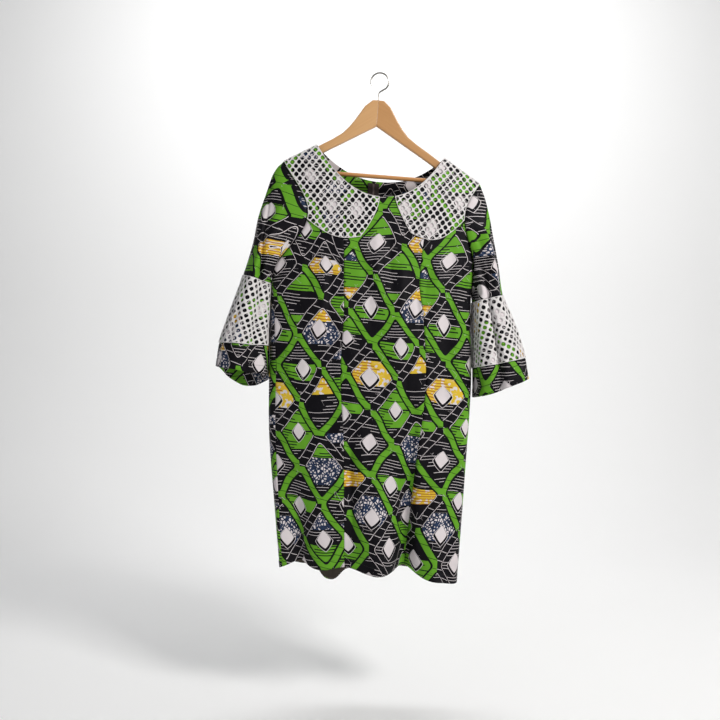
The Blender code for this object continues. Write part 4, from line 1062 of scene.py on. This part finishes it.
def make_floor():
    n = Nodes("floor")
    tone = n.mix(n.noise(n.where(), 2.0), (0.93, 0.93, 0.93, 1.0), (0.95, 0.95, 0.95, 1.0))
    return n.shade(Base_Color=tone, Roughness=0.9)


MATERIALS = {
    "print_cloth": make_print(),
    "net": make_net(),
    "zip_tape": make_tape(),
    # Dark brown with the shade inside the back hem painted in
    "painted_hem_shade": make_painted_hem_shade(),
    "thread_dark": make_thread("thread_dark", (40, 44, 40), (22, 24, 24)),
    "thread_white": make_thread("thread_white", (240, 234, 232), (214, 206, 204)),
    "coil": make_thread("coil", (150, 132, 130), (112, 98, 98)),
    "metal": make_metal(),
    "wood_left": make_wood("wood_left", (224, 178, 126), (198, 146, 92), -0.85, -0.53),
    "wood_right": make_wood("wood_right", (210, 160, 106), (180, 126, 74), 0.83, -0.56),
    "glue": make_wood("glue", (168, 118, 72), (138, 92, 52), 0.078, -0.997),
    "wood_bar": make_wood("wood_bar", (216, 158, 98), (184, 122, 66), 0.997, -0.078),
    "floor": make_floor(),
}


# Pieces

def carried(item):
    """A piece of the looks that rides on the dress."""
    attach(item, DRESS)


def cloth_area(points, faces):
    """Area of a piece's cloth, from its faces as three-cornered pieces."""
    corners = np.array([(face[0], face[k], face[k + 1]) for face in faces for k in range(1, len(face) - 1)])
    a, b, c = points.reshape(-1, 3)[corners.T]
    return float(np.linalg.norm(np.cross(b - a, c - a), axis=-1).sum() / 2.0)


def sheet(name, points, faces, places, material, thickness, replaces=None):
    """A sheet of cloth, carried on the dress, which hides what it replaces. The size of its cut is reckoned
    and not used further.
    """
    item = link(name, points.reshape(-1, 3), faces, places.reshape(-1, 2), material, thickness)
    carried(item)
    if replaces:
        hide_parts(replaces)
    width, length = (float(size) for size in np.ptp(places.reshape(-1, 2), axis=0))
    area = min(max(cloth_area(points, faces), LEAST_AREA * width * length), width * length)


def repeated(faces, corners, count):
    """The faces of one small piece for each of a count of pieces, in one run of vertices."""
    return [[corners * number + corner for corner in face] for number in range(count) for face in faces]


def stitches(name, line, out, material, lift=CLOTH / 2.0):
    """A row of stitches along a line on the cloth, one small bead of thread for each."""
    way = run_lengths(line, 0)
    places = np.arange(STITCH_PITCH / 2.0, way[-1], STITCH_PITCH)

    def at(rows, where):
        return np.stack([np.interp(where, way, rows[:, k]) for k in range(3)], axis=-1)

    normal = unit(at(out, places))
    centre = at(line, places) + normal * (lift + STITCH_RADIUS * 0.2)
    run = unit(at(line, places + STITCH_HALF) - at(line, places - STITCH_HALF))
    aside = unit(np.cross(normal, run))
    rings = [centre + run * STITCH_HALF * share + (aside * cos(turn) + normal * sin(turn)) * STITCH_RADIUS
             for share in (-0.6, 0.6) for turn in (0.0, pi / 2.0, pi, 1.5 * pi)]
    rings += [centre + run * end - normal * STITCH_RADIUS * 0.8 for end in (-STITCH_HALF, STITCH_HALF)]
    corners = [(k, (k + 1) % 4) for k in range(4)]
    bead = [(k, after, 4 + after, 4 + k) for k, after in corners]
    bead += [(8, after, k) for k, after in corners] + [(9, 4 + k, 4 + after) for k, after in corners]
    vertices = np.stack(rings, axis=1).reshape(-1, 3)
    item = link(name, vertices, repeated(bead, len(rings), len(places)), None, material)
    carried(item)


def hem_stitches(name, points, normals, from_edge):
    """Stitches where the turned edge is sewn down, at one distance from it, column by column."""
    both = np.concatenate([points, normals], axis=-1)[::-1]
    found = np.array([[np.interp(HEM_TURN_UP, from_edge[::-1, j], both[:, j, k]) for k in range(6)]
                      for j in range(points.shape[1])])
    stitches(name + "_stitches", found[:, :3], unit(found[:, 3:]), "thread_dark")


def make_panel(name, left, right, top):
    """A panel of the body between two seams and under a top curve, with its sewn edges."""
    panel = PANELS[name]
    spots = panel_spots(panel["columns"], left, right, top)
    angle, height = spots[..., 0], spots[..., 1]
    points, normals = body_cloth(angle, height)
    down, over = run_lengths(points, 0), run_lengths(points, 1)
    from_hem = down[-1:] - down
    out = turned_edge(from_hem) + armhole_groove(armhole_distance(points), down_armhole(angle, height))
    for away in (over, over[:, -1:] - over):
        out = out + seam_depth(down, away, panel["phase"]) * armhole_calm(points)
    points = points + normals * out[..., None]
    places = join(*cloth_place(angle, height, panel["grain"])) + (panel["shift_x"], panel["shift_y"])
    sheet(name + "_cloth", points, grid_faces(*angle.shape), places, "print_cloth", CLOTH,
          name)
    hem_stitches(name, points, normals, from_hem)
    # The back panels get a dark strip inside the hem whose colour is painted shade
    if name.startswith("back"):
        make_hem_shade_strip(name, points[-HEM_SHADE_ROWS:], normals[-HEM_SHADE_ROWS:], places[-HEM_SHADE_ROWS:])


def make_hem_shade_strip(name, points, normals, places):
    """A dark brown strip inside the back hem, which shows below the front. Its plain dark brown is painted
    shade, the shade that lies inside the back at the hem.
    """
    inner = points - normals * HEM_SHADE_SINK
    inner[-1] = lerp(inner[-1], inner[-2], HEM_SHADE_DRAWN_UP)
    sheet("hem_shade_strip_" + name, inner, grid_faces(*places.shape[:2]), places, "painted_hem_shade", HEM_SHADE_THICKNESS)


def centre_back_line(step):
    top_angle = ring(BACK_NECK_LOW, "centre_back")
    top_x = body_point(top_angle, np.asarray(BACK_NECK_LOW))[0]
    return seam_line("centre_back", (top_angle, float(neckline(top_x, True))), step)


def make_body():
    start = centre_back_line(np.zeros(1))[0]
    start_x = float(body_point(start[0], start[1])[0])
    tops = {side: spot(x, neckline(x)) for side, x in PRINCESS_NECK_X.items()}

    def princess(side):
        return lambda step: seam_line("princess_" + side, tops[side], step)

    def outer(side, face, turn=0.0):
        return lambda step: side_line(side, face, step) + (turn, 0.0)

    def neck_curve(share):
        x = lerp(PRINCESS_NECK_X["left"], PRINCESS_NECK_X["right"], share)
        return spot(x, neckline(x))

    def top(name, side, near=0.0):
        """Top of a side panel from its seam outward. Near is an angle on a back panel."""
        start, share = start_x if near else PRINCESS_NECK_X[side], PANELS[name]["neck_share"]
        return lambda u: unwrap_near(top_of(side, u, start, share, near > 0.0), near)

    def from_outside(curve):
        return lambda u: curve(1.0 - u)

    make_panel("front_centre", princess("left"), princess("right"), neck_curve)
    make_panel("front_side_left", outer("left", "front"), princess("left"),
               from_outside(top("front_side_left", "left")))
    make_panel("front_side_right", princess("right"), outer("right", "front"),
               top("front_side_right", "right"))
    make_panel("back_left", centre_back_line, outer("left", "back", 360.0), top("back_left", "left", 240.0))
    make_panel("back_right", outer("right", "back"), centre_back_line,
               from_outside(top("back_right", "right", 130.0)))


def sleeve_rings(side, first, last):
    """Grid of a stretch of the sleeve, from the underarm seam round to itself."""
    steps = np.linspace(first, last, int(round((last - first) * SLEEVE_ROWS_A_STEP)) + 1)
    step, angle = np.meshgrid(steps, SLEEVE_RING, indexing="ij")
    normals = sleeve_normal(side, step, angle)
    normals[:, -1] = normals[:, 0] = unit(normals[:, 0] + normals[:, -1])
    return sleeve_point(side, step, angle), normals


def sleeve_places(side, points):
    """Cloth places of a grid round the sleeve, from its outer line and along its direction."""
    axis = unit(np.array(SLEEVE_AXIS[side]))
    over = run_lengths(points - (points @ axis)[..., None] * axis, 1)
    return join(over - over[:, len(SLEEVE_RING) // 2][:, None], -(points @ axis))


def make_sleeve_piece(kind, side, first, last, phase):
    name = kind + "_" + side
    points, normals = sleeve_rings(side, first, last)
    down, over = run_lengths(points, 0), run_lengths(points, 1)
    from_foot = down[-1:] - down
    if kind == "sleeve":
        out = armhole_groove(down, armhole_share(SLEEVE_RING))
    else:
        out = seam_depth(over, down, phase)
    out = out + (turned_edge(from_foot) if kind == "cuff" else seam_depth(over, from_foot, phase + 1.0))
    points = points + normals * out[..., None]
    places = sleeve_places(side, points) + (0.03 * phase, 0.11 * phase)
    faces = grid_faces(*down.shape)
    if side == "right":
        faces = faces[:, ::-1]
    sheet(name + "_cloth", points, faces, places, "print_cloth", CLOTH, name)
    if kind == "cuff":
        hem_stitches(name, points, normals, from_foot)


def make_net_flounce(side):
    """Net cut as part of a ring, so that its rows stay straight while it flares."""
    points, _ = sleeve_rings(side, NET_SEAM_STEP, CUFF_SEAM_STEP)
    over, down = run_lengths(points, 1), run_lengths(points, 0)
    length = float(down[-1].mean())
    turn = (over[-1, -1] - over[0, -1]) / length
    top_radius = over[0, -1] / turn
    low_radius = top_radius + length
    reach_x = low_radius * sin(turn / 2.0) + NET_GRID
    xs = np.arange(-reach_x, reach_x, NET_GRID)
    ys = np.arange(-low_radius - NET_GRID, -top_radius * cos(turn / 2.0) + NET_GRID, NET_GRID)
    x, y = np.meshgrid(xs, ys)
    radius = np.hypot(x, y)
    ends = (turn / 2.0 - np.abs(np.arctan2(x, -y))) * radius
    rims = np.minimum(radius - top_radius, low_radius - radius) - FLOUNCE_INSET
    outline = np.minimum(rims, ends + NET_GRID * 0.4)
    flat, faces = cut_sheet(net_field(x, y, outline, FLOUNCE_OPEN), xs, ys)
    down_share = np.clip((np.hypot(*flat.T) - top_radius) / length, 0.0, 1.0)
    round_share = np.clip(np.arctan2(flat[:, 0], -flat[:, 1]) / turn + 0.5, 0.0, 1.0)
    evenly = np.linspace(0.0, 1.0, FLOUNCE_TURN_STEPS + 1)
    angles = np.stack([np.interp(evenly, line, SLEEVE_RING) for line in over / over[:, -1:]])
    angle = sample(angles, down_share * (len(over) - 1), round_share * FLOUNCE_TURN_STEPS)
    step = lerp(NET_SEAM_STEP, CUFF_SEAM_STEP, down_share)
    points = sleeve_point(side, step, angle) + sleeve_normal(side, step, angle) * FLOUNCE_LIFT
    if side == "right":
        faces = [face[::-1] for face in faces]
    sheet("net_flounce_" + side + "_cloth", points, faces, flat, "net", NET,
          "net_flounce_" + side)


def make_sleeves():
    for side, phase in (("left", 0.6), ("right", 2.2)):
        make_sleeve_piece("sleeve", side, 0.0, NET_SEAM_STEP, phase)
        make_sleeve_piece("flounce", side, NET_SEAM_STEP, CUFF_SEAM_STEP, phase + 0.5)
        make_sleeve_piece("cuff", side, CUFF_SEAM_STEP, CUFF_EDGE_STEP, phase + 1.1)
        make_net_flounce(side)


def yoke_outline(side):
    """Closed outline of the yoke as x and height: shoulder, armhole, free edge, then neck."""
    row, (neck, tip) = YOKES[side], SHOULDERS[side]
    low = (row["low_x"], row["low_z"])
    share = np.linspace(0.0, 1.0, 49)
    along_neck = np.minimum(1.0, share / YOKE_NECK_SHARE)
    neck_x = lerp(neck[0], row["neck_x"], (smoothstep(along_neck) + along_neck) / 2.0)
    below = np.clip((share - YOKE_NECK_SHARE) / (1.0 - YOKE_NECK_SHARE), 0.0, 1.0)
    free = join(lerp(row["neck_x"], low[0], below ** row["bow"]),
                lerp(neckline(np.asarray(row["neck_x"])), low[1], below))
    inner = np.where((share < YOKE_NECK_SHARE)[:, None], join(neck_x, neckline(neck_x)), free)
    hole = armhole(side, "front", row["armhole_share"] * share)
    outer = join(body_point(hole[:, 0], hole[:, 1])[:, 0], hole[:, 1])
    bottom = between(low, outer[-1], share)
    bottom[:, 1] -= row["sag"] * np.sin(pi * share)
    return np.concatenate([between(neck, tip, share)[:-1], outer[:-1], bottom[:0:-1], inner[:0:-1]])


def make_yoke(side):
    name, grain, turn = "yoke_net_" + side, YOKES[side]["grain"], radians(YOKES[side]["turn"])
    spots = spot(*yoke_outline(side).T)
    polygon = join(*cloth_place(spots[:, 0], spots[:, 1], grain))
    low, high = polygon.min(axis=0) - NET_GRID, polygon.max(axis=0) + NET_GRID
    xs, ys = (np.arange(low[k], high[k], NET_GRID) for k in range(2))
    x, y = np.meshgrid(xs, ys)
    field = net_field(x * cos(turn) + y * sin(turn), y * cos(turn) - x * sin(turn),
                      distance_in(x, y, polygon) - YOKE_INSET, 1.0)
    flat, faces = cut_sheet(field, xs, ys)
    points, _ = body_cloth(*body_place(flat[:, 0], flat[:, 1], grain), NET_LIFT)
    sheet(name + "_cloth", points, faces, flat, "net", NET,
          name)
    edge = polygon[len(polygon) // 2 - 1:]
    run = unit(np.gradient(edge, axis=0))
    turned_in = join(-run[:, 1], run[:, 0]) * NET_STITCH_IN
    if distance_in(*(edge[20] + turned_in[20]).reshape(2, 1), polygon)[0] < 0.0:
        turned_in = -turned_in
    line, out = body_cloth(*body_place(*(edge + turned_in).T, grain), NET_LIFT)
    stitches(name + "_stitches", line, out, "thread_white", NET / 2.0)


def zip_spots(offset):
    """Angle and height of places down the back seam, a tooth's pitch apart, at an offset across it."""
    height = ZIP_TOP - TOOTH["pitch"] * np.arange(int((ZIP_TOP - ZIP_FOOT) / TOOTH["pitch"]))
    centre = ring(height, "centre_back")
    per_metre = 1.0 / (ring(height, "half_width") * radians(1.0) * np.cos(np.radians(centre - 180.0)))
    return centre + offset * per_metre, height


def make_zip_teeth():
    """Two rows of small rounded teeth that mesh along the inside of the tapes, and the tapes' stitches."""
    outline = ((-0.5, -0.34), (-0.34, -0.5), (0.34, -0.5), (0.5, -0.34),
               (0.5, 0.34), (0.34, 0.5), (-0.34, 0.5), (-0.5, 0.34))
    levels = ((0.0, 1.0), (-0.8, 1.0), (-1.0, 0.8))
    corners = [(depth, wide * size, tall * size) for depth, size in levels for wide, tall in outline]
    corners = np.array(corners) * (TOOTH["deep"], TOOTH["width"], TOOTH["tall"])
    tooth = [(level + k, level + (k + 1) % 8, level + 8 + (k + 1) % 8, level + 8 + k)
             for level in (0, 8) for k in range(8)] + [tuple(range(16, 24))]
    rows = []
    for sign, shift in ((1.0, 0.0), (-1.0, 0.5)):
        spots = zip_spots(sign * TOOTH["aside"])
        normals = body_normal(*spots)
        points = body_point(*spots) - normals * TAPE_SINK
        down = unit(np.gradient(points, axis=0))
        axes = np.stack([normals, unit(np.cross(down, normals)), down], axis=1)
        rows.append((points + down * TOOTH["pitch"] * shift)[:, None] + corners @ axes)
    vertices = np.concatenate(rows).reshape(-1, 3)
    faces = repeated(tooth, len(corners), len(vertices) // len(corners))
    carried(link("zip_teeth", vertices, faces, None, "coil"))
    for sign, side in ((1.0, "left"), (-1.0, "right")):
        line, out = body_cloth(*zip_spots(sign * ZIP_STITCH_OFF))
        stitches("zip_stitches_" + side, line, out, "thread_dark")


def make_hanger_joint():
    """The glue line between the two halves of the hanger."""
    z, y = np.meshgrid(np.linspace(GLUE_LOW, GLUE_HIGH, 25), np.linspace(-GLUE_HALF, GLUE_HALF, 7),
                       indexing="ij")
    points = join(0.0, y, z).reshape(-1, 3) @ np.array(Matrix.Rotation(HANGER_TILT, 3, "Y")).T
    carried(link("hanger_joint", points, grid_faces(*z.shape), None, "glue", 0.0003))


def finish_hanger():
    for node, material in (("hanger_arm_left", "wood_left"), ("hanger_arm_right", "wood_right"),
                           ("hanger_bar", "wood_bar"), ("hanger_hook", "metal"),
                           ("zip_slider", "metal"), ("zip_pull", "metal"),
                           ("zip_tape_left", "zip_tape"), ("zip_tape_right", "zip_tape")):
        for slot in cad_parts[node].material_slots:
            slot.material = MATERIALS[material]


# Camera, floor and light

def make_stage():
    """A floor that turns up into a wall behind."""
    floor_height, back, radius, half_wide = CAD_BOX[0][2] - 0.28, 2.6, 1.2, 5.0
    rows = [(-4.0, floor_height), (back - radius, floor_height)]
    for turn in np.linspace(0.0, pi / 2.0, 17)[1:]:
        rows.append((back - radius + radius * sin(turn), floor_height + radius * (1.0 - cos(turn))))
    rows.append((back, floor_height + 5.0))
    vertices = [(x, y, z) for y, z in rows for x in (-half_wide, half_wide)]
    faces = [(2 * k, 2 * k + 1, 2 * k + 3, 2 * k + 2) for k in range(len(rows) - 1)]
    link("floor", vertices, faces, None, "floor")


def make_light(name, place, aim, size, power, tint):
    data = bpy.data.lights.new(name, "AREA")
    data.shape = "RECTANGLE"
    data.size, data.size_y = size
    data.energy, data.color = power, tint
    item = add_object(name, data)
    item.location = place
    item.rotation_euler = (Vector(aim) - Vector(place)).to_track_quat("-Z", "Y").to_euler()


def make_camera():
    data = bpy.data.cameras.new("camera")
    data.lens, data.sensor_width, data.sensor_fit = CAMERA_LENS, CAMERA_SENSOR, "HORIZONTAL"
    item = add_object("camera", data)
    item.location = CAMERA_PLACE
    item.rotation_euler = (pi / 2.0, 0.0, 0.0)
    bpy.context.scene.camera = item


def make_world():
    world = bpy.data.worlds.new("studio")
    world.use_nodes = True
    background = world.node_tree.nodes["Background"]
    background.inputs[0].default_value = (0.97, 0.98, 1.0, 1.0)
    background.inputs[1].default_value = 0.17
    bpy.context.scene.world = world
    bpy.context.scene.view_settings.view_transform = "Standard"


make_camera()
make_world()
make_stage()
middle = (-0.02, 0.0, -0.62)
make_light("key", (1.8, -1.9, 1.1), middle, (0.8, 0.8), 76.0, (1.0, 0.985, 0.96))
make_light("fill", (-1.9, -1.7, -0.3), middle, (1.4, 1.8), 6.0, (0.95, 0.97, 1.0))
make_light("wall", (0.0, 0.9, 1.6), (0.0, 2.6, -0.6), (2.4, 0.8), 44.0, (1.0, 1.0, 1.0))
make_body()
make_sleeves()
for yoke_side in SIDES:
    make_yoke(yoke_side)
make_zip_teeth()
make_hanger_joint()
finish_hanger()
